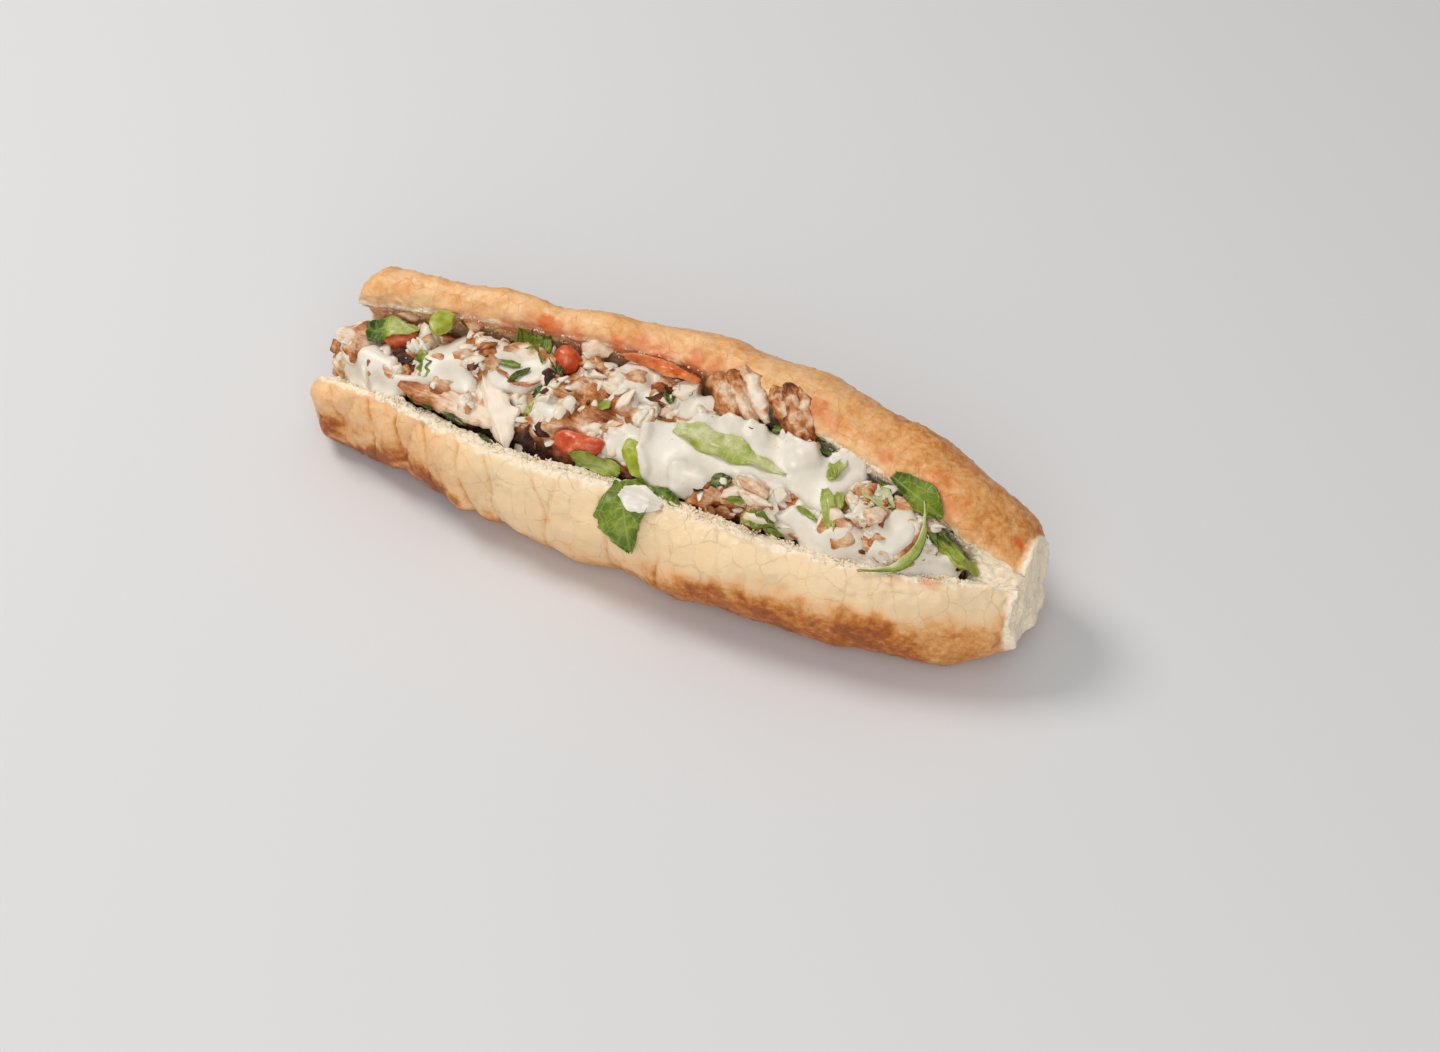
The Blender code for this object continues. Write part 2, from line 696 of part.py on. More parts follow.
def make_inserts(roll):
    """The larger pieces that stand partly in the chopped chicken, each clear of the roll and the others."""
    made = [
        wedge("tomato_left", sunk(seat(-109, 0.33), -1.5), (17, 13, 10), 0.25, 3),
        wedge("tomato_dice", sunk(seat(-43, 0.16), -2.5), (11, 12, 12), 0.2, 4),
        wedge("tomato_half", sunk(between((-31, 0.86), (-13, 0.84)), -2), (20, 11, 9), 0.3, 5),
        slab("slice_front", sunk(between((-96, 0.88), (-53, 0.84), -25), 1), (43, 9, 4), point=0.2, seed=7),
        slab("slice_white", sunk(between((-67, 0.52), (-50, 0.96), 20), -1), (29, 14, 4), point=-0.8, seed=8),
        slab(
            "slice_curl",
            sunk(between((-60, 0.30), (-45, 0.30), 68), -0.5),
            (26, 10, 2.6),
            190,
            seed=9,
            cells=(9, 3),
        ),
        slab(
            "rib_left",
            sunk(between((-93.5, 0.00), (-92, 0.34)), -3),
            (14, 8, 4),
            30,
            point=0.1,
            seed=13,
            cells=(5, 3),
        ),
        slab(
            "rib_middle",
            sunk(between((-4, 0.74), (5, 0.94), 10), -3),
            (16, 9, 3),
            50,
            seed=14,
            cells=(5, 3),
        ),
        slab(
            "stem",
            sunk(between((66, 0.10), (76, 0.60), 60), -2.5),
            (22, 5, 2.4),
            point=0.3,
            seed=15,
            cells=(6, 2),
        ),
        slab("stem_right", sunk(between((113, 0.40), (122, 0.85)), -1), (15, 5, 4), seed=17, cells=(5, 2)),
    ]
    placed = [roll]
    for piece in made:
        centre = sum((v.co for v in piece.data.vertices), Vector()) / len(piece.data.vertices) / MM
        settle(piece, seat(centre.x, 0.5).col[2].xyz, placed)
        placed.append(piece)
    return made


def make_slices(laid, over_sauce):
    """Slices laid flat: a tomato strip and a round slice under the sauce, and two browned ones over it."""
    strip_frame = frame_from(Vector((-7, 17.5, 55.5)), Vector((1, 0.02, 0.01)), Vector((0, -0.8, 0.6)))
    under = (
        ("tomato_strip", strip_frame, (32, 5), 0.3, 0.8, 23, 2.2, 1),
        ("slice_round", between((75, 0.22), (88, 0.20)), (15, 12), 0.5, 0.9, 24, 2.4, 0),
    )
    over = (
        ("slice_lid_left", between((19, -0.10), (33, 0.22), 12), (25, 19), 0.5, 0.9, 21, 3.4, 0),
        ("slice_lid_right", between((42, -0.12), (56, 0.18), 12), (27, 15), 0.5, 0.8, 22, 3.4, 0),
    )
    for name, frame, size, wave, tip, seed, thickness, bow in over if over_sauce else under:
        laid.append(leaf(name, frame, size, tree(laid), wave, tip, seed, thickness, bow))


def make_leaves(laid):
    """The leaves that lie over everything else, each laid on what is already there."""
    rim_frame = frame_from(Vector((6.5, -39, 37.5)), Vector((0.42, -0.6, -0.62)), Vector((0.1, -0.75, 0.66)))
    lid_frame = frame_from(Vector((99, -1, 54.5)), Vector((20, -5, -5)), Vector((0.1, -0.6, 0.8)))
    plans = (
        ("leaf_left", between((-118, 0.40), (-101, 0.24)), (19, 11), 0.8, 0.7, 1),
        ("leaf_left_small", between((-92, 0.52), (-85, 0.76)), (11, 8), 0.8, 0.6, 2),
        ("leaf_curly", between((-66, 0.12), (-54, 0.24)), (15, 10), 1.6, 0.6, 3),
        ("leaf_strip", between((-21, 0.98), (-5, 0.96)), (19, 7), 0.8, 0.5, 4),
        ("leaf_behind", between((6, 1.0), (22, 1.04)), (16, 8), 0.8, 0.6, 5),
        ("leaf_rim", rim_frame, (26, 20), 0.9, 0.6, 6),
        ("leaf_on_sauce", between((9, 0.50), (53, 0.42)), (44, 10), 0.6, 0.5, 7),
        ("leaf_front_small", between((46, 0.98), (57, 0.94)), (11, 7), 1.0, 0.6, 8),
        ("leaf_lid", lid_frame, (23, 11), 0.8, 0.7, 9),
        ("leaf_right", between((115, 0.28), (123, 0.90)), (18, 9), 1.0, 0.6, 10),
        ("leaf_cup", between((101, 0.16), (93, 1.10)), (31, 9), 0.6, 0.9, 11),
    )
    for name, frame, size, wave, tip, seed in plans:
        bow = 7 if name == "leaf_cup" else 0
        laid.append(leaf(name, frame, size, tree(laid), wave, tip, seed, bow=bow))
    return laid


def stand_on_origin(pieces):
    """Moves everything so that the middle of the whole, seen from above, is over the origin."""
    points = [v.co for piece in pieces for v in piece.data.vertices]
    shift = Vector([-(min(p[k] for p in points) + max(p[k] for p in points)) / 2 for k in (0, 1)] + [0])
    shift.z = -min(p.z for p in points)
    for piece in pieces:
        for v in piece.data.vertices:
            v.co += shift
    print("moved by", [round(c / MM, 3) for c in shift], "mm")


def clear_scene():
    for o in list(bpy.data.objects):
        bpy.data.objects.remove(o)


def paint(piece, colour, roughness):
    shade = bpy.data.materials.new(piece.name)
    shade.use_nodes = True
    body = shade.node_tree.nodes["Principled BSDF"]
    body.inputs["Base Color"].default_value = (*colour, 1)
    body.inputs["Roughness"].default_value = roughness
    shade.diffuse_color = (*colour, 1)
    piece.data.materials.clear()
    piece.data.materials.append(shade)


COLOURS = {
    "roll": ((0.72, 0.46, 0.22), 0.6),
    "chicken": ((0.78, 0.58, 0.40), 0.6),
    "slice": ((0.80, 0.58, 0.42), 0.6),
    "sauce": ((0.88, 0.84, 0.72), 0.3),
    "tomato": ((0.72, 0.07, 0.04), 0.3),
    "leaf": ((0.13, 0.30, 0.06), 0.5),
    "rib": ((0.42, 0.60, 0.18), 0.5),
    "stem": ((0.30, 0.50, 0.12), 0.5),
}


def main():
    clear_scene()
    roll = make_roll()
    inserts = make_inserts(roll)
    heap = make_heap(roll, inserts)
    laid = [roll, heap] + inserts
    make_slices(laid, over_sauce=False)
    for name, (stations, depth) in SAUCES.items():
        laid.append(sauce(name, stations, depth, tree(laid)))
    make_slices(laid, over_sauce=True)
    make_leaves(laid)
    stand_on_origin(laid)
    for piece in laid:
        paint(piece, *COLOURS[piece.name.split("_")[0]])
        piece.data.shade_smooth()
        print(piece.name, len(piece.data.polygons))


main()
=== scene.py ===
# %% [markdown]
# # A filled baguette sandwich
#
# A long bread roll, split along its top, is filled with chopped chicken, a creamy white sauce,
# tomato and green leaves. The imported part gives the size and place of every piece. This script
# dresses it: it makes each piece again at full detail, on the same curves, and gives it the finish
# of the real food.

import math
import random

import bmesh
import bpy
from mathutils import Euler, Matrix, Vector, noise
from mathutils.bvhtree import BVHTree


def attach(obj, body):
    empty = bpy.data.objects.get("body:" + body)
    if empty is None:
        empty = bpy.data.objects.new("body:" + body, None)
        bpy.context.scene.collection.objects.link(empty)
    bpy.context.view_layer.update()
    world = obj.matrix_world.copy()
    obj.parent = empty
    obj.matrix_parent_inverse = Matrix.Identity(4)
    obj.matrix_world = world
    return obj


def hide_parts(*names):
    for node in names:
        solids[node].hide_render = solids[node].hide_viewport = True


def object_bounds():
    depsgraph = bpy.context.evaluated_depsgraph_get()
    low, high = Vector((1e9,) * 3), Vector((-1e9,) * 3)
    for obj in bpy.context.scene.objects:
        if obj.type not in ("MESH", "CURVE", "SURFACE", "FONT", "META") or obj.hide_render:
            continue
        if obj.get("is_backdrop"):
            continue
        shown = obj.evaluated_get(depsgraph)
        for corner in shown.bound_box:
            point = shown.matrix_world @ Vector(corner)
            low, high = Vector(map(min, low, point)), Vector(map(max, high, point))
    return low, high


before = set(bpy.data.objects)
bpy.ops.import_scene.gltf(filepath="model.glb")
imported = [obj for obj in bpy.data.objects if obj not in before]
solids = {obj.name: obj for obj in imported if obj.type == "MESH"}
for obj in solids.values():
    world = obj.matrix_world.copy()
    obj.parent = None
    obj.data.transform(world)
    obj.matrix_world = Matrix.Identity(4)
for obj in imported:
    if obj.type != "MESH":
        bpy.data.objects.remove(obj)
cad_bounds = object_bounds()
print("solids:", len(solids))

# %% [markdown]
# ## Helpers for colour, nodes and pieces
#
# Colours are written as sRGB hex values, the way a colour picker shows them, and one function turns
# them to the linear values that shading needs. One function adds a shader node, with its settings
# and its links, and short ones call it for the nodes that recur. One puts a finished mesh in the
# scene.

# %% Helpers
MM = 0.001


def linear(hex_code):
    shown = [int(hex_code[i : i + 2], 16) / 255 for i in (1, 3, 5)]
    return (*(c / 12.92 if c <= 0.04045 else ((c + 0.055) / 1.055) ** 2.4 for c in shown), 1)


def add(tree, kind, settings=None, links=None):
    """Adds a node. A setting is one of the node's own properties, an input or a ramp's stops."""
    node = tree.nodes.new("ShaderNode" + kind)
    for key, value in (settings or {}).items():
        if key == "stops":
            ramp = node.color_ramp
            while len(ramp.elements) < len(value):
                ramp.elements.new(0.5)
            for element, (place, colour) in zip(ramp.elements, value):
                element.position = place
                grey = not isinstance(colour, str)
                element.color = (colour, colour, colour, 1) if grey else linear(colour)
        elif isinstance(key, str) and hasattr(node, key):
            setattr(node, key, value)
        else:
            node.inputs[key].default_value = value
    for key, socket in (links or {}).items():
        tree.links.new(socket, node.inputs[key])
    return node


def new_material(name, settings):
    """A material with one Principled BSDF, and the socket of the Object coordinates."""
    settings = {"Subsurface Radius": (1.0, 0.75, 0.55), **settings}
    print("material:", name)
    made = bpy.data.materials.new(name)
    made.use_nodes = True
    tree = made.node_tree
    body = tree.nodes["Principled BSDF"]
    for key, value in settings.items():
        body.inputs[key].default_value = value
    return made, tree, body, add(tree, "TexCoord").outputs["Object"]


def cells(mm):
    """The scale of a pattern on Object coordinates whose features are that many millimetres apart."""
    return 1 / (mm * MM)


def attribute(tree, name):
    return add(tree, "Attribute", {"attribute_name": name}).outputs["Fac"]


def mottling(tree, place, mm, **settings):
    """The strength of a noise whose features are that many millimetres apart."""
    return add(tree, "TexNoise", {"Scale": cells(mm), **settings}, {"Vector": place}).outputs["Fac"]


def calc(tree, operation, *values, clamp=False):
    """The result of a Math node, whose values are numbers or sockets."""
    numbers = {k: v for k, v in enumerate(values) if isinstance(v, (int, float))}
    sockets = {k: v for k, v in enumerate(values) if k not in numbers}
    settings = {"operation": operation, "use_clamp": clamp, **numbers}
    return add(tree, "Math", settings, sockets).outputs[0]


def ramp(tree, share, *stops):
    return add(tree, "ValToRGB", {"stops": stops}, {"Fac": share}).outputs["Color"]


def mix(tree, share, first, second):
    """Mixes a colour with a second one, which is a socket or a hex value."""
    settings, links = {"data_type": "RGBA"}, {0: share, 6: first}
    if isinstance(second, str):
        settings[7] = linear(second)
    else:
        links[7] = second
    return add(tree, "Mix", settings, links).outputs[2]


def finish(tree, body, colour, height, strength, depth):
    """Gives the surface its colour, and a bump from a height, with its depth in millimetres."""
    tree.links.new(colour, body.inputs["Base Color"])
    bump = add(tree, "Bump", {"Strength": strength, "Distance": depth * MM}, {"Height": height})
    tree.links.new(bump.outputs["Normal"], body.inputs["Normal"])


def soften(bm):
    """Moves each point halfway to the middle of its neighbours."""
    axes = {"use_axis_x": True, "use_axis_y": True, "use_axis_z": True}
    bmesh.ops.smooth_vert(bm, verts=bm.verts, factor=0.5, **axes)


def show(name, bm, material, replaced=()):
    """Puts a mesh that was made in millimetres in the scene, and says how many triangles it has."""
    bmesh.ops.scale(bm, vec=(MM, MM, MM), verts=bm.verts)
    bmesh.ops.triangulate(bm, faces=[f for f in bm.faces if len(f.verts) > 4])
    mesh = bpy.data.meshes.new(name)
    bm.to_mesh(mesh)
    bm.free()
    mesh.materials.append(material)
    mesh.shade_smooth()
    piece = bpy.data.objects.new(name, mesh)
    bpy.context.scene.collection.objects.link(piece)
    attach(piece, "root")
    if replaced:
        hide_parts(*replaced)
    print(name, "has", sum(len(p.vertices) - 2 for p in mesh.polygons), "triangles")
    return piece


def grid_place(v, columns, rows):
    """The column and row of a point of a new grid, whose points run from -1 to 1."""
    return round((v.co.x + 1) / 2 * columns), round((v.co.y + 1) / 2 * rows)


def thicken(bm, thickness):
    """Gives a sheet its thickness: its faces are extruded inwards along the points' normals."""
    bmesh.ops.recalc_face_normals(bm, faces=bm.faces)
    bm.normal_update()
    inward = bm.verts.layers.float_vector.new("inward")
    for v in bm.verts:
        v[inward] = -thickness * v.normal
    whole = bm.faces[:] + bm.edges[:] + bm.verts[:]
    made = bmesh.ops.extrude_face_region(bm, geom=whole, use_keep_orig=True)
    inward = bm.verts.layers.float_vector["inward"]
    for v in made["geom"]:
        if isinstance(v, bmesh.types.BMVert):
            v.co += v[inward]
    bm.verts.layers.float_vector.remove(inward)
    bmesh.ops.recalc_face_normals(bm, faces=bm.faces)


# %% [markdown]
# ## The curves of the roll
#
# The roll's cross-section changes along its length: narrow at the open end, wide in the middle and
# pinched at the closed end. A few named sizes at eight places give it, in millimetres, and smooth
# curves run between them. Everything in the sandwich is placed from these curves.

# %% The cross-section
ROLL_LENGTH = 280
END_ROUNDING = 9
BACK_HALF_SETBACK = 9
FRONT_HALF_SETBACK = 6
FRONT_RIM_SETBACK = 2.5
SETBACK_LENGTH = 60
TAIL_LIFT = 8
TAIL_FROM = 122
HINGE_Y = 1
HINGE_HEIGHT = 11
FRONT_LIP = 5
BACK_LIP_DROP = 7
SLIT_CLOSES_FROM = 112
SLIT_CLOSED_AT = 127
CLOSED_DEPTH = 0.08
HEAP_BULGE = 5
DESIGN_SHIFT = Vector((0, 1.684, 0))
SECTION_PLACES = (-140, -100, -50, 0, 50, 90, 120, 140)
SECTION_SIZES = {
    "front_y": (-26, -31.5, -42, -45, -45.5, -40, -31.5, -19),
    "front_z": (17, 20, 22, 24, 24, 23, 21, 21),
    "rim_y": (-20, -26, -33, -31, -32, -30, -20, -10),
    "rim_z": (31, 38, 40, 42, 42, 43, 41, 38),
    "edge_y": (7, 11, 16, 18, 9, 1, -6, -6),
    "edge_z": (46, 50, 55, 59, 59, 55, 47, 40),
    "top_z": (56, 60, 62, 64, 65, 62, 56, 46),
    "back_y": (29, 31, 33, 45, 44, 38.5, 30.5, 20),
}


def blend(a, b, t):
    return a + (b - a) * t


def ease(t):
    t = min(1.0, max(0.0, t))
    return t * t * (3 - 2 * t)


def noise_at(p, mm, shift=(0, 0, 0)):
    """A noise whose features are that many millimetres apart, about from -1 to 1."""
    return noise.noise(p / mm + Vector(shift))


def smooth_between(x, places, values):
    x = min(places[-1], max(places[0], x))
    i = max(k for k in range(len(places) - 1) if places[k] <= x)

    def slope(k):
        low, high = max(0, k - 1), min(len(places) - 1, k + 1)
        return (values[high] - values[low]) / (places[high] - places[low])

    span = places[i + 1] - places[i]
    t = (x - places[i]) / span
    return (
        (2 * t**3 - 3 * t**2 + 1) * values[i]
        + (t**3 - 2 * t**2 + t) * span * slope(i)
        + (-2 * t**3 + 3 * t**2) * values[i + 1]
        + (t**3 - t**2) * span * slope(i + 1)
    )


def section(x):
    g = {name: smooth_between(x, SECTION_PLACES, v) for name, v in SECTION_SIZES.items()}
    g["top_y"] = blend(g["edge_y"], g["back_y"], 0.4)
    g["back_z"] = 0.55 * g["top_z"]
    closing = (x - SLIT_CLOSES_FROM) / (SLIT_CLOSED_AT - SLIT_CLOSES_FROM)
    g["depth"] = blend(1.0, CLOSED_DEPTH, ease(closing))
    return g


# %% [markdown]
# Two functions walk round the section. One follows the crust, from the front half's rim, under the
# roll and up to the back half's edge. The other follows the crumb inside the slit, from the rim
# down to the hinge and up again. Both run from 0 to 1, so a point of the crust and a point of the
# crumb with the same share face each other across the bread.


# %% Crust and crumb
def arc(start, end, t, upright_start):
    fast, slow = math.sin(t * math.pi / 2), 1 - math.cos(t * math.pi / 2)
    across, along = (slow, fast) if upright_start else (fast, slow)
    return (blend(start[0], end[0], across), blend(start[1], end[1], along))


def crust_point(g, s):
    rim, front = (g["rim_y"], g["rim_z"]), (g["front_y"], g["front_z"])
    back, top, edge = (g["back_y"], g["back_z"]), (g["top_y"], g["top_z"]), (g["edge_y"], g["edge_z"])
    base_front, base_back = 0.45 * g["front_y"], 0.5 * g["back_y"]
    if s < 0.20:
        return arc(front, rim, 1 - s / 0.20, True)
    if s < 0.40:
        return arc((base_front, 0), front, 1 - (s - 0.20) / 0.20, False)
    if s < 0.50:
        return (blend(base_front, base_back, (s - 0.40) / 0.10), 0)
    if s < 0.66:
        return arc((base_back, 0), back, (s - 0.50) / 0.16, False)
    if s < 0.86:
        return arc(back, top, (s - 0.66) / 0.20, True)
    return arc(top, edge, (s - 0.86) / 0.14, False)


def lips(g):
    front = (g["rim_y"] + FRONT_LIP, g["rim_z"] - 1.5)
    back = (g["edge_y"] + 2, g["edge_z"] - BACK_LIP_DROP)
    return front, (HINGE_Y, HINGE_HEIGHT), back


def bend_between(start, pull, end, t):
    a = [blend(p, q, t) for p, q in zip(start, pull)]
    b = [blend(p, q, t) for p, q in zip(pull, end)]
    return [blend(p, q, t) for p, q in zip(a, b)]


def crumb_point(g, s):
    front, hinge, back = lips(g)
    rim, edge = (g["rim_y"], g["rim_z"]), (g["edge_y"], g["edge_z"])
    if s < 0.10:
        y, z = (blend(p, q, s / 0.10) for p, q in zip(rim, front))
    elif s < 0.50:
        y, z = bend_between(front, (front[0] + 1, 0.4 * front[1]), hinge, (s - 0.10) / 0.40)
    elif s < 0.88:
        y, z = bend_between(hinge, (back[0] + 5, 0.5 * back[1]), back, (s - 0.50) / 0.38)
    else:
        y, z = (blend(p, q, (s - 0.88) / 0.12) for p, q in zip(back, edge))
    chord = [blend(p, q, s) for p, q in zip(rim, edge)]
    return blend(chord[0], y, g["depth"]), blend(chord[1], z, g["depth"])


g = section(0)
print("middle of the roll:", round(g["back_y"] - g["front_y"]), "mm wide,", g["top_z"], "mm high")

# %% [markdown]
# ## The bread
#
# A baguette dough bakes to a thin golden crust over a pale, open crumb. A fine grid is wrapped
# round the section curves: one way runs along the roll, the other round it, and it is denser by the
# rims, where the torn crumb shows. Each point keeps how far round it is, how baked and how oily it
# is, and whether it is crumb. The material reads these. The relief is moved in mesh: low lumps,
# slanting folds at the open end, pillows between the creases of the front, and the crumb's pores.

# %% Rings of the bread
ROLL_STATIONS = 330
CAP_RINGS = 12
CRUST_STEPS = 150
CRUMB_STEPS = 100
RING = CRUST_STEPS + CRUMB_STEPS


def fine_stations():
    half = ROLL_LENGTH / 2
    for i in range(CAP_RINGS):
        turn = i / CAP_RINGS * math.pi / 2
        yield -half + END_ROUNDING * (1 - math.cos(turn)), math.sin(turn)
    for i in range(ROLL_STATIONS + 1):
        yield blend(-half + END_ROUNDING, half, i / ROLL_STATIONS), 1.0
    for i in range(1, CAP_RINGS):
        yield half, 1 - i / (CAP_RINGS - 1)


def ring_share(j):
    """The share round the section, denser by both rims, and whether the point is on the crust."""
    on_crust = j <= CRUST_STEPS
    u = j / CRUST_STEPS if on_crust else 1 - (j - CRUST_STEPS) / CRUMB_STEPS
    return u - 0.09 * math.sin(2 * math.pi * u), on_crust


def bread_point(g, x, opening, s, on_crust):
    crust, crumb = crust_point(g, s), crumb_point(g, s)
    own = crust if on_crust else crumb
    y, z = (blend((p + q) / 2, r, opening) for p, q, r in zip(crust, crumb, own))
    near_end = ease(1 - (x + ROLL_LENGTH / 2) / SETBACK_LENGTH)
    setback = BACK_HALF_SETBACK * ease((s - 0.45) / 0.4) + FRONT_HALF_SETBACK * ease((0.45 - s) / 0.3)
    setback += FRONT_RIM_SETBACK * ease((0.12 - s) / 0.12)
    z += TAIL_LIFT * ease((x - TAIL_FROM) / 18) * max(0.0, 1 - z / 28) ** 1.5
    return Vector((x + setback * near_end, y, z)) + DESIGN_SHIFT


stations = list(fine_stations())
bm = bmesh.new()
bmesh.ops.create_grid(bm, x_segments=len(stations) - 1, y_segments=RING, size=1)
BREAD_LAYERS = ("crumb", "bake", "around", "oil", "open")
crumb_layer, bake_layer, around_layer, oil_layer, open_layer = (
    bm.verts.layers.float.new(name) for name in BREAD_LAYERS
)
columns = {}
for v in bm.verts:
    i, j = grid_place(v, len(stations) - 1, RING)
    columns.setdefault(i, []).append((j % RING, v))
for i, members in columns.items():
    x, opening = stations[i]
    g = section(x)
    cut_face = i > CAP_RINGS + ROLL_STATIONS
    for j, v in members:
        s, on_crust = ring_share(j)
        v.co = bread_point(g, x, opening, s, on_crust)
        v[around_layer] = s if on_crust else -1
        v[crumb_layer] = 0.0 if on_crust and not cut_face else 1.0
        if not on_crust and not cut_face:
            toasted = ease((s - 0.74) / 0.08) * ease((45 - x) / 30)
            v[crumb_layer], v[bake_layer] = 1 - 0.8 * toasted, 0.44 * toasted
        v[open_layer] = opening if cut_face else (1.0 if i >= CAP_RINGS else -opening)
bmesh.ops.remove_doubles(bm, verts=bm.verts, dist=0.02)
bmesh.ops.recalc_face_normals(bm, faces=bm.faces)
print("bread grid:", len(bm.verts), "points")

# %% [markdown]
# The relief comes next. Each point moves along its normal by a sum of noises, in millimetres. The
# crust's are low and smooth, with creases that run round the front half. The crumb's has pores, from
# the distance to the nearest of many scattered points. At the closed end the roll is torn, and the
# soft crumb bulges out past the crust.


# %% Relief of the bread
def pores(p, size):
    """0 in the middle of a pore and 1 on the walls between pores."""
    near = noise.voronoi(p / size)[0]
    return min(1.0, (near[1] - near[0]) * 2.2)


def folds(x, s):
    """Slanting folds in the crust of the front half, towards the open end."""
    share = ease((-35 - x) / 30) * ease((s - 0.03) / 0.08) * ease((0.44 - s) / 0.12)
    phase = x / 11 + s * 8 + 1.4 * noise.noise(Vector((x / 18, s * 6, 2)))
    return share * (abs(math.sin(phase)) ** 0.7 - 0.5)


# Each crease: its place along the roll at the rim, its slant, its depth, and how far round it
# reaches.
CREASES = (
    (-126, 34, 0.6, 0.30),
    (-108, 22, 0.7, 0.36),
    (-97, 40, 0.8, 0.30),
    (-80, 18, 0.6, 0.36),
    (-67, 42, 0.9, 0.34),
    (-52, 26, 0.8, 0.38),
    (-33, 36, 0.7, 0.36),
    (-24, 12, 0.5, 0.24),
    (-6, 30, 0.7, 0.34),
    (17, 16, 0.5, 0.30),
    (41, 22, 0.4, 0.20),
    (72, 10, 0.4, 0.16),
    (97, 14, 0.4, 0.18),
)


def creases(x, s):
    """Thin lines that part the front's crust, with the dough swelling a little between them."""
    if s > 0.42:
        return 0.0
    out, near = 0.0, 9.0
    for start, slant, depth, reach in CREASES:
        away = x - start - slant * s - 3.5 * noise.noise(Vector((start, s * 9, 3)))
        if abs(away) < 9:
            share = ease((s - 0.02) / 0.05) * ease((reach - s) / 0.08)
            out -= 1.5 * depth * share * math.exp(-((away / 0.7) ** 2))
            near = min(near, abs(away) + 5 * (1 - share))
    swell = ease(near / 7) * ease((s - 0.03) / 0.1) * ease((0.42 - s) / 0.1) * ease((40 - x) / 50)
    return out + 0.5 * swell


def crust_relief(p, s):
    lump = 2.4 * noise_at(p, 21) * ease(min(s, 1 - s) / 0.05)
    middle = 0.7 * noise_at(p, 8, (3, 1, 7))
    small = 0.35 * noise_at(p, 3.4)
    flake = 0.3 * max(0.0, noise_at(p, 2.1, (9, 2, 1)) - 0.25) / 0.3
    rough = 0.7 * ease((0.05 - min(s, (1 - s) * 1.2)) / 0.04) * noise_at(p, 2.2)
    large = lump + middle + small + flake + 2.5 * folds(p.x, s) + creases(p.x, s)
    return (large + rough) * ease(p.z / 7)


def crumb_relief(p):
    deep = 0.8 * noise_at(p, 6) + 0.7 * (pores(p, 2.8) - 0.6)
    return deep + 0.35 * noise_at(p, 1.5) - 0.3


CRUMB_BULGE = 3.2
TORN_BACK = 2.2
bm.normal_update()
moves = []
for v in bm.verts:
    p, s, opening = v.co - DESIGN_SHIFT, v[around_layer], v[open_layer]
    if s >= 0 and not v[crumb_layer]:
        move = v.normal * crust_relief(p, s) * min(1.0, abs(opening) * 2)
    elif p.x > ROLL_LENGTH / 2 - 0.5:
        bulge = CRUMB_BULGE * ease((1 - opening) / 0.25) * (1 + noise_at(p, 9))
        bulge *= blend(1.2, 0.5, ease(p.z / 40))
        move = Vector((bulge + 0.8 * noise_at(p, 3.2) + 0.4 * noise_at(p, 1.4), 0, 0))
    else:
        move = v.normal * crumb_relief(p) * min(1.0, abs(opening) * 2)
    torn = ease((p.x - 136.5) / 3.5) if s >= 0 and opening == 1 else 0
    move += Vector((-TORN_BACK * torn * (0.6 + noise_at(p, 4)), 0, 0))
    moves.append(move)
for v, move in zip(bm.verts, moves):
    v.co += move
print("largest relief:", round(max(m.length for m in moves), 2), "mm")

# %% [markdown]
# The oven has browned the crest, the closed end and a mottled band low on the front. Painted
# shade darkens the creases, by their depth.
# The rims are torn, so crumb shows along them. Chili oil from the filling has stained the bread in
# spots, each given by its place along the roll and round it, its radius and its strength.

# %% Baking, torn rims and oil
OIL_SPOTS = (
    (-102, 0.985, 3.0, 0.35),
    (-70, 0.995, 5.0, 0.8),
    (-56, 0.96, 4.0, 1.0),
    (-52, 0.975, 4.0, 0.9),
    (-34, 0.985, 4.0, 0.5),
    (-19, 0.965, 5.0, 0.7),
    (-8, 0.975, 5.0, 0.6),
    (3, 0.99, 6.0, 0.9),
    (12, 0.965, 5.0, 0.8),
    (19, 0.93, 4.0, 0.5),
    (53, 0.915, 4.5, 0.8),
    (59, 0.93, 5.0, 0.5),
    (75, 0.915, 3.0, 0.3),
    (83, 0.93, 3.0, 0.6),
    (87, 0.985, 3.0, 0.5),
    (104, 0.90, 4.0, 0.45),
    (112, 0.93, 5.0, 0.4),
    (137, 0.885, 2.2, 1.6),
    (-92, 1.0, 5.0, 0.45),
    (-84, 1.0, 5.0, 0.5),
    (-63, 1.0, 6.0, 0.8),
    (-44, 1.0, 5.0, 0.7),
    (-27, 1.0, 5.0, 0.8),
    (-12, 1.0, 5.0, 0.9),
    (103, 0.01, 3.0, 0.3),
    (115, 0.01, 3.5, 0.6),
)
stains = []
for x, s, radius, strength in OIL_SPOTS:
    stains.append((bread_point(section(x), x, 1.0, s, True), radius, strength))
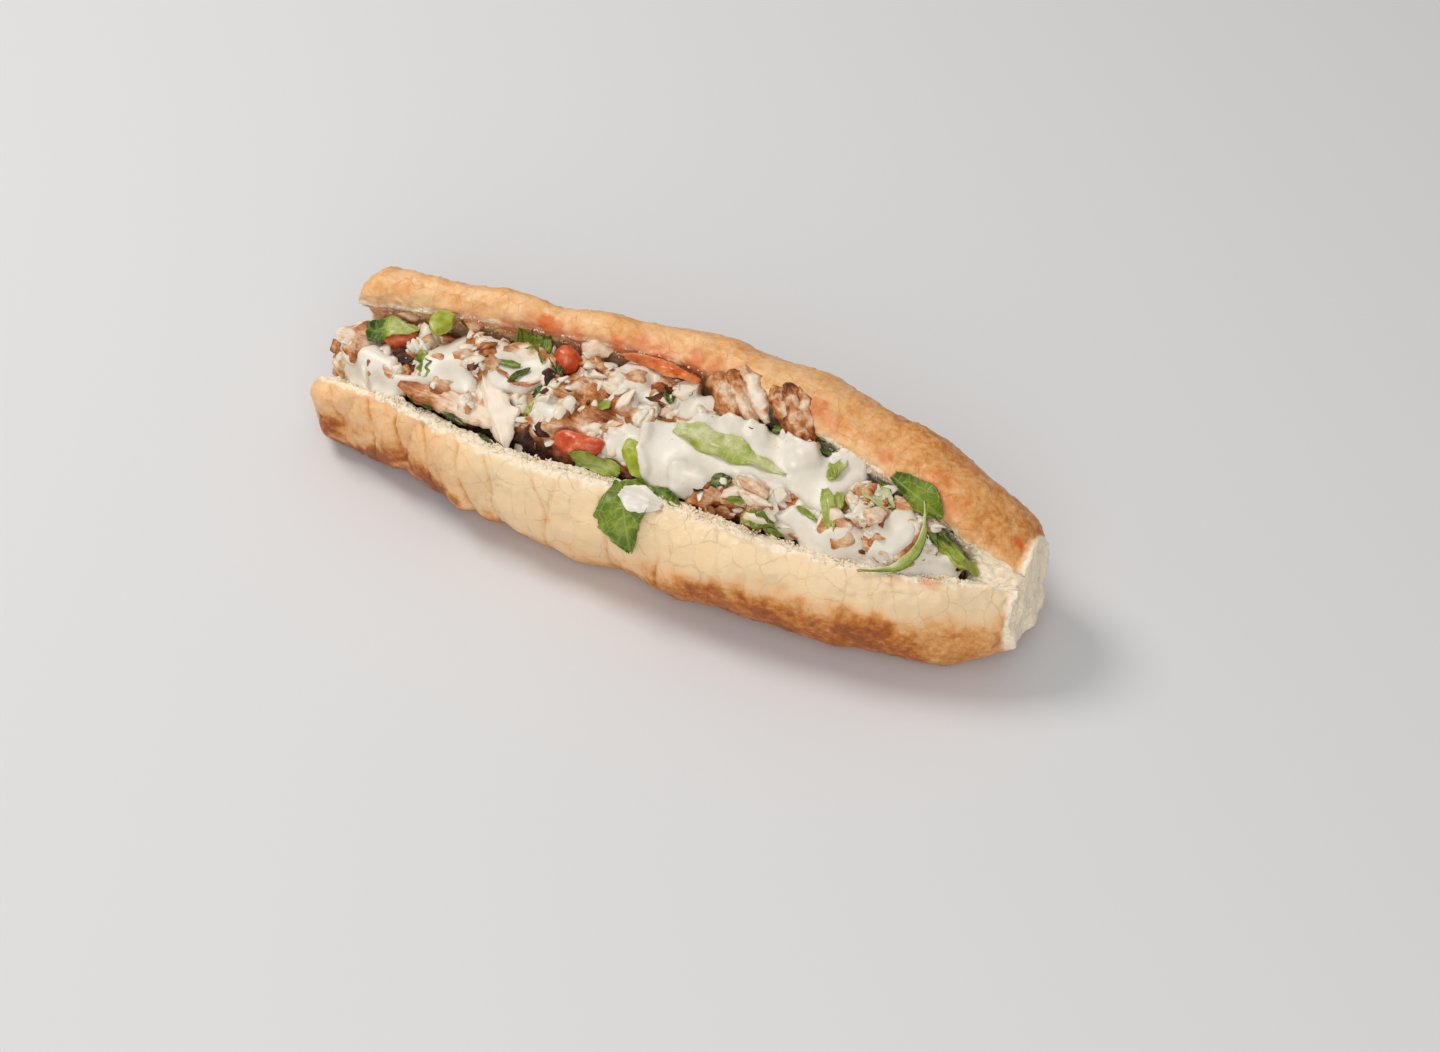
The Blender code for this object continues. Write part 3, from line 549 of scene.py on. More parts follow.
for v in bm.verts:
    p, s = v.co - DESIGN_SHIFT, v[around_layer]
    for spot, radius, strength in stains:
        if abs(spot.x - v.co.x) < 2 * radius:
            away = (spot - v.co).length / radius + 0.5 * noise_at(p, 2.4)
            v[oil_layer] = max(v[oil_layer], strength * ease((1.5 - away) / 1.1))
    if s < 0:
        continue
    soft = noise_at(p, 15) * 0.6 + noise_at(p, 5.5) * 0.5
    torn = 0.026 + 0.018 * ease((10 - p.x) / 40)
    torn = torn + 0.024 * noise_at(p, 6) + 0.014 * noise_at(p, 2)
    at_rims = max(ease((torn - s) / 0.014), ease((s - 0.995 + torn * 0.4) / 0.008))
    v[crumb_layer] = max(v[crumb_layer], at_rims)
    right = ease((p.x + 10) / 70)
    low_front = ease((s + 0.04 * soft - blend(0.20, 0.12, right)) / 0.09) * ease((0.52 - s) / 0.08)
    left_spots = 0.5 * ease((-30 - p.x) / 40) * ease((s - 0.15) / 0.08) * ease(0.6 + 2.2 * soft)
    front = 0.14 + 0.20 * ease((-40 - p.x) / 45) + 0.08 * ease(s / 0.2)
    front += low_front * blend(0.28, 0.66, right) * (1 + 0.4 * soft) + left_spots
    # Painted shade: the front is darker along its creases, by how deep they are.
    front += 0.2 * max(0.0, -creases(p.x, s)) * ease(0.4 + 2 * noise_at(p, 7))
    tail = ease((p.x - 106) / 16) * ease((s + 0.05 * soft - 0.11) / 0.06)
    front = blend(front, 0.52 + 0.16 * soft + 0.2 * ease((s - 0.28) / 0.1), 0.8 * tail)
    lid = 0.43 + 0.14 * ease((p.x - 50) / 60) + 0.10 * ease((0.88 - s) / 0.1) + 0.14 * soft
    lid -= 0.14 * ease((s - 0.93) / 0.05)
    v[bake_layer] = blend(front, lid, ease((s - 0.60) / 0.1))
print("baked:", round(max(v[bake_layer] for v in bm.verts), 2))

# %% [markdown]
# The bread's material: a lean wheat crust, baked golden brown, and its crumb. A crust is slightly
# glossy where the starch has browned, and the crumb is matt and lets a little light in. The bake
# attribute picks the colour from cream to brown, with mottling at three sizes. The crumb attribute
# mixes in the pale inside, and the oil attribute the orange stains.

# %% Bread material
BREAD = {"IOR": 1.45, "Subsurface Weight": 0.12, "Subsurface Scale": 0.003}
bread, tree, body, place = new_material("baked_wheat_bread", BREAD)
bake, crumb, oil = (attribute(tree, name) for name in ("bake", "crumb", "oil"))
mottle = add(tree, "TexNoise", {"Scale": cells(6), "Detail": 7, "Roughness": 0.66}, {"Vector": place})
blotch = mottle.outputs["Fac"]
speck = mottling(tree, place, 1.1, Detail=3)
grain = calc(tree, "ADD", mottling(tree, place, 2.4, Detail=4, Roughness=0.6), -0.5)
grain = calc(tree, "MULTIPLY", grain, calc(tree, "MULTIPLY_ADD", bake, 1.6, -0.32, clamp=True))
shift = calc(tree, "MULTIPLY_ADD", blotch, 0.46, -0.23)
spread = calc(tree, "MULTIPLY", shift, calc(tree, "MULTIPLY_ADD", bake, 1.05, 0.08))
level = calc(tree, "ADD", calc(tree, "ADD", bake, spread), grain)
crust = ramp(
    tree,
    level,
    (0.0, "#F2E2C6"),
    (0.2, "#F0D2A6"),
    (0.38, "#EEBE8A"),
    (0.52, "#E2A564"),
    (0.68, "#CA8036"),
    (0.84, "#B26017"),
    (1.0, "#964B10"),
)
inside = ramp(tree, speck, (0.25, "#EDD8B6"), (0.5, "#F6E6CC"), (0.75, "#FCF4E6"))
oiled = calc(tree, "MULTIPLY", calc(tree, "MULTIPLY", oil, blotch), 1.7, clamp=True)
stained = mix(tree, oiled, mix(tree, crumb, crust, inside), "#D8692C")
gloss = calc(tree, "MULTIPLY_ADD", crumb, 0.42, 0.42)
tree.links.new(gloss, body.inputs["Roughness"])
warp = add(tree, "Mix", {"data_type": "VECTOR", 0: 0.004}, {4: place, 5: mottle.outputs["Color"]})
crackle = {"Scale": cells(9), "feature": "DISTANCE_TO_EDGE"}
crackle = add(tree, "TexVoronoi", crackle, {"Vector": warp.outputs[1]})
crack = ramp(tree, crackle.outputs["Distance"], (0.0, 0.0), (0.03, 1.0))
dark = calc(tree, "MULTIPLY_ADD", crack, -0.24, 0.24)
some = ramp(tree, blotch, (0.48, 0.0), (0.56, 1.0))
cracked = mix(tree, calc(tree, "MULTIPLY", dark, some), stained, "#A06A3A")
height = calc(tree, "MULTIPLY_ADD", crack, 0.5, speck)
finish(tree, body, cracked, height, strength=0.6, depth=0.35)

roll = show("bread_roll", bm, bread, ["roll"])

# %% [markdown]
# Loose crumbs and torn shreds of the inside stand along the rims, where the roll was cut open. They
# are rough grains of a millimetre or so, all in one mesh, in the bread's own material.


# %% Torn crumbs along the rims
def grain_of(bm, here, size, seed, layers, values):
    """A rough grain, of three sizes, at a frame. The layers take the values."""
    made = bmesh.ops.create_icosphere(bm, subdivisions=1, radius=1)
    for v in made["verts"]:
        q = v.co * (1 + 0.6 * noise.noise(v.co * 1.4 + Vector((seed, 0, 0))))
        v.co = here @ Vector(a * b / 2 for a, b in zip(q, size))
        for layer, value in zip(layers, values):
            v[layer] = value


def turned(rng, tilt):
    angles = (rng.uniform(-tilt, tilt), rng.uniform(-tilt, tilt), rng.uniform(0, 6.3))
    return Euler(angles).to_matrix().to_4x4()


RIM_GRAINS = 1300
RIM_X = (-131, 126)
GRAIN_SIZES = (0.4, 1.1)
rng = random.Random(11)
bm = bmesh.new()
layers = [bm.verts.layers.float.new(name) for name in BREAD_LAYERS]
for k in range(RIM_GRAINS):
    x = rng.uniform(*RIM_X)
    at_front = k % 4 > 0
    reach = abs(rng.gauss(0, 1))
    on_crust = reach < 0.45
    s = 0.004 + 0.012 * rng.random() if on_crust else min(0.16, 0.05 * reach)
    if not at_front:
        s = 1 - s * (1 if on_crust else 1.6)
    spot = bread_point(section(x), x, 1.0, s, on_crust) + Vector((0, 0, rng.uniform(-0.6, 0.1)))
    size = [rng.uniform(*GRAIN_SIZES) for _ in range(3)]
    size[k % 3] *= 1.8
    grain_of(bm, Matrix.Translation(spot) @ turned(rng, 1.5), size, k, layers, (1, 0, 0.5, 0, 1))
show("torn_crumbs", bm, bread)

# %% [markdown]
# ## Places in the filling
#
# The filling's mean top spans the slit from the back half's lip to the front half's. A seat is a
# frame on it, at a distance along the roll and a share across: 0 at the back and 1 at the front.
# Its axes point along the roll, towards the back half, and outwards. Rays cast inwards from such
# a frame find what lies there, so that each new piece can be laid on the pieces below it.


# %% Seats
def heap_top(g, t):
    front, _, back = lips(g)
    start = (back[0] - 2.0, back[1] - 0.5)
    end = (front[0] + 1.2, front[1] - 0.5)
    length = math.dist(start, end)
    rise = HEAP_BULGE * 4 * t * (1 - t)
    lean = ((start[1] - end[1]) / length, (start[0] - end[0]) / length)
    return (
        blend(start[0], end[0], t) - rise * lean[0],
        blend(start[1], end[1], t) + rise * lean[1],
    )


def frame_from(origin, along, out):
    out = out.normalized()
    side = out.cross(along).normalized()
    turn = Matrix((side.cross(out), side, out)).transposed()
    return Matrix.Translation(origin) @ turn.to_4x4()


def seat(x, t):
    g = section(x)
    here, ahead = heap_top(g, t), heap_top(g, t + 0.02)
    back = Vector((0, here[0] - ahead[0], here[1] - ahead[1])).normalized()
    along = Vector((1, 0, 0))
    return frame_from(Vector((x, *here)) + DESIGN_SHIFT, along, along.cross(back))


def between(start, end, tilt=0):
    """A frame halfway from one seat to another, tilted by degrees about its length."""
    a, b = seat(*start), seat(*end)
    out = (a.col[2] + b.col[2]).xyz
    here = frame_from((a.translation + b.translation) / 2, b.translation - a.translation, out)
    return here @ Matrix.Rotation(math.radians(tilt), 4, "X")


def search_tree(pieces):
    """A tree of the pieces' faces, in millimetres, that rays can be cast against."""
    points, faces = [], []
    for o in pieces:
        first = len(points)
        points += [v.co / MM for v in o.data.vertices]
        faces += [[first + k for k in p.vertices] for p in o.data.polygons]
    return BVHTree.FromPolygons(points, faces)


REACH = 40


def height_over(surface, origin, out, missing=-6.0):
    """How far a surface lies from an origin along a direction, or a value where none does."""
    hit = surface.ray_cast(origin + out * REACH, -out)
    return missing if hit[0] is None else REACH - hit[3]


# %% [markdown]
# ## Chicken
#
# The filling is roast chicken, chopped small: pale meat with fibres, browned and spiced skin, and
# juices. The heap's solid is copied, its facets are rounded by a fine remesh, and noise roughens it.
# Its hollows are painted dark brown, as painted shade, and carry less sauce. Many loose morsels are
# then laid on it. Each point keeps its tone, its place along the fibres and how far it is coated with
# sauce, as attributes that the material reads.

# %% Chicken material
MEAT = {"IOR": 1.4, "Subsurface Weight": 0.15, "Subsurface Scale": 0.003}
chicken, tree, body, place = new_material("chopped_roast_chicken", MEAT)
grain = add(tree, "Attribute", {"attribute_name": "grain"}).outputs["Vector"]
stretch = add(tree, "Mapping", {"Scale": (0.14, 1.0, 1.0)}, {"Vector": grain}).outputs[0]
fibre = add(tree, "TexNoise", {"Scale": 1 / 0.8, "Detail": 4, "Distortion": 0.4}, {"Vector": stretch})
patch = mottling(tree, place, 3.2, Detail=5, Roughness=0.65)
wide = calc(tree, "MULTIPLY_ADD", patch, 0.75, -0.375)
thin = calc(tree, "MULTIPLY_ADD", fibre.outputs["Fac"], 0.45, -0.225)
level = calc(tree, "ADD", calc(tree, "ADD", attribute(tree, "tone"), wide), thin)
meat = ramp(
    tree,
    level,
    (0.0, "#F1E2CF"),
    (0.25, "#E4CAB0"),
    (0.42, "#D2A883"),
    (0.56, "#BD7A44"),
    (0.72, "#93501F"),
    (0.88, "#57260F"),
    (1.0, "#2C1208"),
)
smear = calc(tree, "ADD", attribute(tree, "coat"), wide)
coated = ramp(tree, smear, (0.44, 0.0), (0.56, 1.0))
tree.links.new(calc(tree, "MULTIPLY_ADD", coated, -0.18, 0.48), body.inputs["Roughness"])
smeared = mix(tree, coated, meat, "#EADFCC")
finish(tree, body, smeared, fibre.outputs["Fac"], strength=0.6, depth=0.4)


# %% Rounded copies of solids
def rounded_copy(node, cell, rounds, relief):
    """A bmesh, in millimetres, of a solid remeshed to cells of that size, smoothed and roughened."""
    copy = bpy.data.objects.new("copy", solids[node].data.copy())
    bpy.context.scene.collection.objects.link(copy)
    bm = bmesh.new()
    bm.from_mesh(copy.data)
    bmesh.ops.remove_doubles(bm, verts=bm.verts, dist=0.005 * MM)
    bm.to_mesh(copy.data)
    bm.free()
    remesh = copy.modifiers.new("cells", "REMESH")
    remesh.mode = "VOXEL"
    remesh.voxel_size = cell * MM
    bpy.context.view_layer.update()
    made = bpy.data.meshes.new_from_object(copy.evaluated_get(bpy.context.evaluated_depsgraph_get()))
    bpy.data.objects.remove(copy)
    bm = bmesh.new()
    bm.from_mesh(made)
    bmesh.ops.scale(bm, vec=(1 / MM,) * 3, verts=bm.verts)
    for _ in range(rounds):
        soften(bm)
    bm.normal_update()
    steps = [v.normal * relief(v.co) for v in bm.verts]
    for v, step in zip(bm.verts, steps):
        v.co += step
    return bm


def meat_layers(bm):
    names = ("tone", "coat")
    return [bm.verts.layers.float.new(n) for n in names] + [bm.verts.layers.float_vector.new("grain")]


def height_on_seat(p):
    """How far a point of the filling lies above the mean top, in millimetres."""
    g = section(p.x)
    q = p - DESIGN_SHIFT
    front, _, back = lips(g)
    t = min(1.0, max(0.0, (back[0] - q.y) / (back[0] - front[0])))
    y, z = heap_top(g, t)
    return q.z - z


def meat_relief(p):
    return 0.9 * noise_at(p, 5) + 0.6 * noise_at(p, 2.1)


bm = rounded_copy("chicken_heap", cell=0.95, rounds=2, relief=meat_relief)
tone_layer, coat_layer, grain_layer = meat_layers(bm)
for v in bm.verts:
    # Painted shade: the deeper a point lies under the mean top, the darker its tone and the thinner
    # its coat of sauce.
    hollow_shade = ease((1.0 - height_on_seat(v.co)) / 5)
    hollow_shade *= ease((v.co.x + 130) / 12) * ease((122 - v.co.x) / 10)
    v[tone_layer] = 0.52 + 0.50 * hollow_shade + 0.35 * noise_at(v.co, 7, (4, 4, 4))
    v[coat_layer] = 0.30 - 0.4 * hollow_shade + 0.5 * noise_at(v.co, 9)
    v[grain_layer] = v.co
heap = show("chopped_chicken", bm, chicken, ["chicken_heap"])

# %% [markdown]
# Each larger slice is a ball pressed flat. Its outline comes from the half-widths of its two sides,
# its faces have grooves along the fibres, and it can have a ridge and an arch. Strips lie over the
# back half's lip, pale within, and browned and spiced along their rims.


# %% Slices
def along_profile(widths, u):
    at = min(len(widths) - 1.001, u * (len(widths) - 1))
    k = int(at)
    return blend(widths[k], widths[k + 1], ease(at - k) * 0.5 + (at - k) * 0.5)


def lay_slice(bm, layers, here, length, sides, shape, look, seed):
    """A slice along a frame's first axis. Its shape is thickness, lift, ridge and arch."""
    thick, lift, ridge, arch = shape
    tone_from, tone_to, rim_tone, coat_here = look
    fibrous = 1.0 if arch < 1.5 else 0.35
    made = bmesh.ops.create_icosphere(bm, subdivisions=5, radius=1)
    for v in made["verts"]:
        p = v.co.copy()
        u = (p.x + 1) / 2
        w = min(1.0, max(-1.0, p.y / max(0.05, math.sqrt(max(0.0, 1 - p.x * p.x)))))
        half = along_profile(sides[0] if w > 0 else sides[1], u)
        torn = 1 + 0.3 * noise.noise(Vector((u * length / 4.5, w, seed)))
        torn += 0.14 * noise.noise(Vector((u * length / 1.5, w, seed)))
        q = Vector((length * (u - 0.5), half * w * torn, 0))
        strands = noise.noise(Vector((q.x / 8, q.y / 1.5, seed)))
        flat = math.copysign(abs(p.z) ** 0.6, p.z)
        q.z = lift + ridge * (1 - abs(w)) + arch * 4 * u * (1 - u)
        waves = 0.7 * noise_at(q, 4, (seed, 0, 0))
        q.z += flat * thick * (0.5 + 0.2 * fibrous * strands) + waves
        q.z += (1 - fibrous) * 0.8 * noise_at(q, 1.6)
        away = max(abs(w), abs(2 * u - 1)) + 0.3 * noise_at(q, 3, (0, seed, 0))
        tone = blend(tone_from, tone_to, ease((u - 0.2) / 0.5)) + rim_tone * ease((away - 0.45) / 0.4)
        charred = 0.45 * (1 - fibrous) * noise_at(q, 3, (0, 0, seed))
        v[layers[0]] = tone + (0.1 * fibrous * strands + charred)
        v[layers[1]] = coat_here
        v[layers[2]] = Vector((q.x * blend(5, 1, fibrous), q.y, q.z + seed * 9))
        v.co = here @ q


def strip_between(start, end):
    """A frame from one point to another of the design, facing up and to the front."""
    start, end = Vector(start) + DESIGN_SHIFT, Vector(end) + DESIGN_SHIFT
    here = frame_from((start + end) / 2, end - start, Vector((0.1, -0.35, 0.94)))
    return here, (end - start).length


# The torn outlines of the strips, as shares of the half-width from end to end.
TAPERS = (
    (0.35, 0.8, 0.7, 1.1, 0.9, 1.0, 0.6, 0.3),
    (0.5, 1.0, 0.8, 0.9, 1.15, 0.7, 0.8, 0.2),
    (0.3, 0.6, 1.1, 0.8, 1.0, 0.9, 0.4, 0.3),
)
# Each slice: its node, frame, length, half-widths of both sides, shape, and look, which is its tone
# at both ends, its darker rims and its coat.
SLICES = (
    (
        "slice_front",
        between((-96, 0.88), (-53, 0.84), -25) @ Matrix.Translation((1, -1.8, 0)),
        47,
        ((1.2, 3.6, 4.6, 4.8, 4.4, 3.4, 1), (1.4, 4.6, 4.8, 5, 5.4, 4.6, 1)),
        (3.4, 1.4, 0, 0.6),
        (0.50, 0.10, 0.16, 0.0),
    ),
    (
        "slice_white",
        between((-67, 0.52), (-50, 0.96), 20) @ Matrix.Translation((2, 0, 0)),
        31,
        ((0.6, 2, 5.4, 8, 8.4, 5.4, 0.6), (0.6, 5, 5.4, 5.4, 4.4, 3, 0.6)),
        (2.4, 0.4, 2.2, 1.0),
        (-0.06, -0.06, 0.0, 0.35),
    ),
    (
        "slice_curl",
        between((-65, 0.32), (-45, 0.36), 8),
        22,
        ((3, 7.4, 8.6, 9, 8, 3.6), (3, 7.4, 8.6, 9, 8, 3.6)),
        (2.0, 5.6, -5.4, -1.4),
        (-0.06, -0.06, 0.62, 0.3),
    ),
    (
        "slice_round",
        between((75, 0.22), (88, 0.20)),
        16,
        ((2, 5, 6, 6, 5, 2), (2, 5, 6, 6, 5, 2)),
        (2.6, 0, 0, 0),
        (0.0, 0.0, 0.0, 0.8),
    ),
)
# Each strip over the lip: its node, where it starts and ends, its half-width, its tone at both ends,
# its darker rims and its coat.
LIP_STRIPS = (
    ("slice_lid_left", (13.0, 17.5, 60.6), (31.5, 0.6, 55.0), 5.0, 0.42, 0.48, 0.20, 0.0),
    ("slice_lid_left", (17.0, 19.3, 62.6), (34.6, 3.2, 54.8), 4.2, 0.42, 0.26, 0.24, 0.0),
    ("slice_lid_left", (21.5, 22.0, 64.6), (38.4, 7.0, 55.8), 3.6, 0.12, 0.02, 0.34, 0.0),
    ("slice_lid_right", (34.5, 18.2, 63.4), (50.0, 5.4, 54.6), 4.4, 0.32, 0.50, 0.28, 0.0),
    ("slice_lid_right", (38.5, 20.4, 64.4), (55.4, 2.2, 54.6), 4.6, 0.52, 0.42, 0.28, 0.0),
    ("slice_lid_right", (43.5, 20.6, 64.6), (57.0, 6.0, 55.0), 3.0, 0.40, 0.52, 0.22, 0.0),
)
STRIP_SHAPE = (3.6, 0.4, 1.2, 1.8)
slices = []
for k, (node, here, length, sides, shape, look) in enumerate(SLICES):
    bm = bmesh.new()
    lay_slice(bm, meat_layers(bm), here, length, sides, shape, look, k + 1)
    slices.append(show(node.replace("slice", "chicken_slice"), bm, chicken, [node]))
for node in ("slice_lid_left", "slice_lid_right"):
    bm = bmesh.new()
    layers = meat_layers(bm)
    for k, (owner, start, end, half, *look) in enumerate(LIP_STRIPS):
        if owner == node:
            here, length = strip_between(start, end)
            wide = [half * (1 + 0.15 * math.sin(k * 3 + side)) for side in (0, 1)]
            sides = [[wide[side] * share for share in TAPERS[(k + side) % 3]] for side in (0, 1)]
            lay_slice(bm, layers, here, length, sides, STRIP_SHAPE, look, k + 10)
    name = node.replace("slice", "chicken_slice")
    slices.append(show(name, bm, chicken, [node]))

# %% [markdown]
# ## Tomato, ribs and stems
#
# Ripe tomato is wet flesh under a smooth red skin. The ribs are the crisp, pale green middles of
# the salad leaves. Both let light in, so both have some subsurface scattering.

# %% Tomato
FLESH = {"Roughness": 0.2, "IOR": 1.4, "Subsurface Weight": 0.2, "Subsurface Scale": 0.003}
TOMATO_STOPS = ((0.3, "#B03A14"), (0.46, "#C6512A"), (0.58, "#D66C44"), (0.72, "#E8A582"))
OILY_STOPS = ((0.3, "#C4501C"), (0.46, "#D8743A"), (0.58, "#E08E54"), (0.72, "#EAB084"))


def flesh(name, stops):
    made, tree, body, place = new_material(name, FLESH)
    red = ramp(tree, mottling(tree, place, 4, Detail=5, Roughness=0.6), *stops)
    finish(tree, body, red, mottling(tree, place, 1.6, Detail=2), strength=0.25, depth=0.3)
    return made


tomato = flesh("ripe_tomato", TOMATO_STOPS)
oily_tomato = flesh("tomato_in_chili_oil", OILY_STOPS)
tomatoes = []
for node in ("tomato_left", "tomato_dice", "tomato_half", "tomato_strip"):
    bm = rounded_copy(node, cell=0.5, rounds=4, relief=lambda p: 0.4 * noise_at(p, 3.5))
    skin = oily_tomato if node == "tomato_strip" else tomato
    tomatoes.append(show(node.replace("tomato", "tomato_piece"), bm, skin, [node]))

# %% Ribs and stems
CRISP = {"Roughness": 0.3, "IOR": 1.4, "Subsurface Weight": 0.25, "Subsurface Scale": 0.003}
rib, tree, body, place = new_material("crisp_leaf_rib", CRISP)
shade = mottling(tree, place, 5, Detail=4)
green = ramp(tree, shade, (0.3, "#7F8A12"), (0.45, "#9AA42A"), (0.6, "#B4BA5C"), (0.75, "#D0CF98"))
finish(tree, body, green, shade, strength=0.3, depth=0.4)

ribs = []
for node in ("rib_left", "rib_middle", "stem", "stem_right"):
    bm = rounded_copy(node, cell=0.45, rounds=3, relief=lambda p: 0.3 * noise_at(p, 2.5))
    ribs.append(show("crisp_" + node, bm, rib, [node]))

# %% [markdown]
# The sauce lies in pools, and no loose piece of meat shows where a pool is deep. So the outlines of
# the pools come first, as they are in the photograph.

# %% Outlines of the pools
# Each pool: its height over what it covers, in millimetres, how far it levels out, and its outline
# as places along the roll and shares across.
POOLS = (
    (
        2.0,
        1.0,
        (-2, 0.60, 1, 0.50, 8, 0.44, 14, 0.34, 21, 0.26, 30, 0.20, 38, 0.15, 47, 0.12, 54, 0.16),
        (59, 0.10, 65, 0.06, 72, -0.02, 77, 0.02, 76, 0.26, 74, 0.45, 73, 0.62, 67, 0.69, 61, 0.62),
        (57, 0.59, 52, 0.65, 46, 0.66, 42, 0.70, 37, 0.66, 32, 0.76, 28, 0.88, 22, 0.96, 15, 1.0),
        (9, 1.01, 4, 0.94, -1, 0.77),
    ),
    (
        1.5,
        0.9,
        (-125, 0.96, -122, 0.80, -119, 0.64, -114, 0.56, -108, 0.66, -103, 0.66, -101, 0.84),
        (-93, 0.80, -95, 0.62, -91, 0.46, -88, 0.30, -86, 0.14, -83, 0.14, -82, 0.36, -78, 0.44),
        (-73, 0.52, -69, 0.68, -70, 0.78, -78, 0.76, -87, 0.80, -94, 0.88, -98, 1.02, -108, 1.06),
        (-118, 1.06),
    ),
    (
        1.1,
        0.85,
        (-79, 0.14, -71, 0.12, -63, 0.18, -58, 0.28, -52, 0.18, -47, 0.27, -46, 0.42, -51, 0.54),
        (-57, 0.60, -63, 0.61, -70, 0.46, -76, 0.28),
    ),
    (
        0.8,
        0.25,
        (-24, 0.10, -21, -0.02, -13, -0.04, -6, 0.08, -8, 0.24, -2, 0.28, -2, 0.44, -7, 0.53),
        (-14, 0.54, -20, 0.48, -17, 0.36, -23, 0.24),
    ),
    (0.6, 0.4, (-15, 0.66, -8, 0.58, -1, 0.60, 1, 0.78, -4, 0.90, -12, 0.86)),
    (0.5, 0.2, (-44, 0.62, -38, 0.56, -33, 0.64, -36, 0.74, -42, 0.74)),
    (1.0, 0.4, (2, 0.22, 10, 0.12, 18, 0.10, 21, 0.20, 15, 0.30, 6, 0.36)),
    (
        1.6,
        0.7,
        (58, 0.80, 60, 0.70, 66, 0.72, 73, 0.84, 79, 0.74, 86, 0.72, 89, 0.84, 87, 0.96, 84, 1.04),
        (78, 1.06, 71, 1.03, 65, 0.96, 60, 0.90, 56, 0.84),
    ),
    (
        1.4,
        0.8,
        (86, 1.02, 96, 1.03, 102, 0.92, 107, 0.72, 112, 0.72, 117, 0.74, 120, 0.9, 120, 1.08),
        (112, 1.14, 100, 1.14),
    ),
    (1.2, 0.7, (64, 0.14, 68, 0.02, 74, -0.06, 76, 0.06, 73, 0.22, 66, 0.24)),
    (
        1.3,
        0.8,
        (89, 0.60, 94, 0.34, 99, 0.20, 103, 0.30, 105, 0.56, 103, 0.82, 98, 0.94, 92, 0.98, 92, 0.82),
    ),
)


def span(x):
    g = section(x)
    return math.dist(heap_top(g, 0), heap_top(g, 1))


def outline_of(parts):
    flat = [value for part in parts for value in part]
    return [(x, t * span(x)) for x, t in zip(flat[::2], flat[1::2])]


def inside_by(outline, x, y):
    """How far a place lies inside an outline, negative outside, in millimetres."""
    inside, nearest = False, 1e9
    for (ax, ay), (bx, by) in zip(outline, outline[1:] + outline[:1]):
        if (ay > y) != (by > y) and x < ax + (y - ay) / (by - ay) * (bx - ax):
            inside = not inside
        dx, dy = bx - ax, by - ay
        along = min(1.0, max(0.0, ((x - ax) * dx + (y - ay) * dy) / (dx * dx + dy * dy)))
        nearest = min(nearest, math.hypot(x - ax - along * dx, y - ay - along * dy))
    return nearest if inside else -nearest


outlines = [(pool[0], pool[1], outline_of(pool[2:])) for pool in POOLS]
boxes = [(min(p[0] for p in o) - 4, max(p[0] for p in o) + 4) for _, _, o in outlines]
print("pools of sauce:", len(POOLS))

# %% [markdown]
# ## Morsels
#
# The chopped meat shows as hundreds of small pieces. Each is an icosphere cut flat by a few random
# planes, as a knife would, then stretched, grooved along its fibres and laid on the heap. The pieces
# that can be told apart in the photograph have a line of their own in the table. Random ones fill
# the rest.

# %% Morsels
CUTS = 9


def morsel(bm, layers, here, size, tone_here, coat_here, seed, detail=3):
    """A chopped piece, of three sizes, at a frame. Its seed draws the planes that cut it."""
    rng = random.Random(seed)
    made = bmesh.ops.create_icosphere(bm, subdivisions=detail, radius=1)
    planes = []
    for _ in range(CUTS):
        away = Vector([rng.uniform(-1, 1) for _ in range(3)]).normalized()
        planes.append((away, rng.uniform(0.36, 0.74)))
    shift = Vector((seed * 1.7, seed * 0.9, seed * 2.3))
    for v in made["verts"]:
        p = v.co.copy()
        for away, reach in planes:
            p -= away * max(0.0, p.dot(away) - reach)
        p *= 1.35 + 0.25 * noise.noise(p * 1.6 + shift)
        q = Vector(a * b / 2 for a, b in zip(p, size))
        strands = noise.noise(Vector((q.x / 6, q.y / 1.1, q.z / 1.1)) + shift)
        q += p * 0.45 * strands
        top = (here.to_3x3() @ v.co).normalized().z
        # Painted light and shade: a morsel's tone is a little paler where it faces up and darker
        # where it faces down. It carries more sauce where it faces up.
        v[layers[0]] = tone_here + 0.5 * max(0.0, noise.noise(p * 1.6 + shift) - 0.1) - 0.1 * top
        v[layers[1]] = coat_here + 0.25 * top + 0.25 * noise.noise(p * 1.2 - shift)
        v[layers[2]] = q + shift
        v.co = here @ q


heap_surface = search_tree([heap])
roll_surface = search_tree([roll])
others_surface = search_tree(slices + tomatoes + ribs)


def laid_on_heap(x, t, lift, over_all=False):
    """A frame on the heap there, or None where a larger piece or nothing lies."""
    here = seat(x, t)
    out = here.col[2].xyz
    own = height_over(heap_surface, here.translation, out)
    other = height_over(others_surface, here.translation, out)
    if over_all:
        own = max(own, other, min(3.5, height_over(roll_surface, here.translation, out)), -3.0)
    elif own < -5 or other > own - 0.5:
        return None
    return Matrix.Translation(out * (own + lift)) @ here


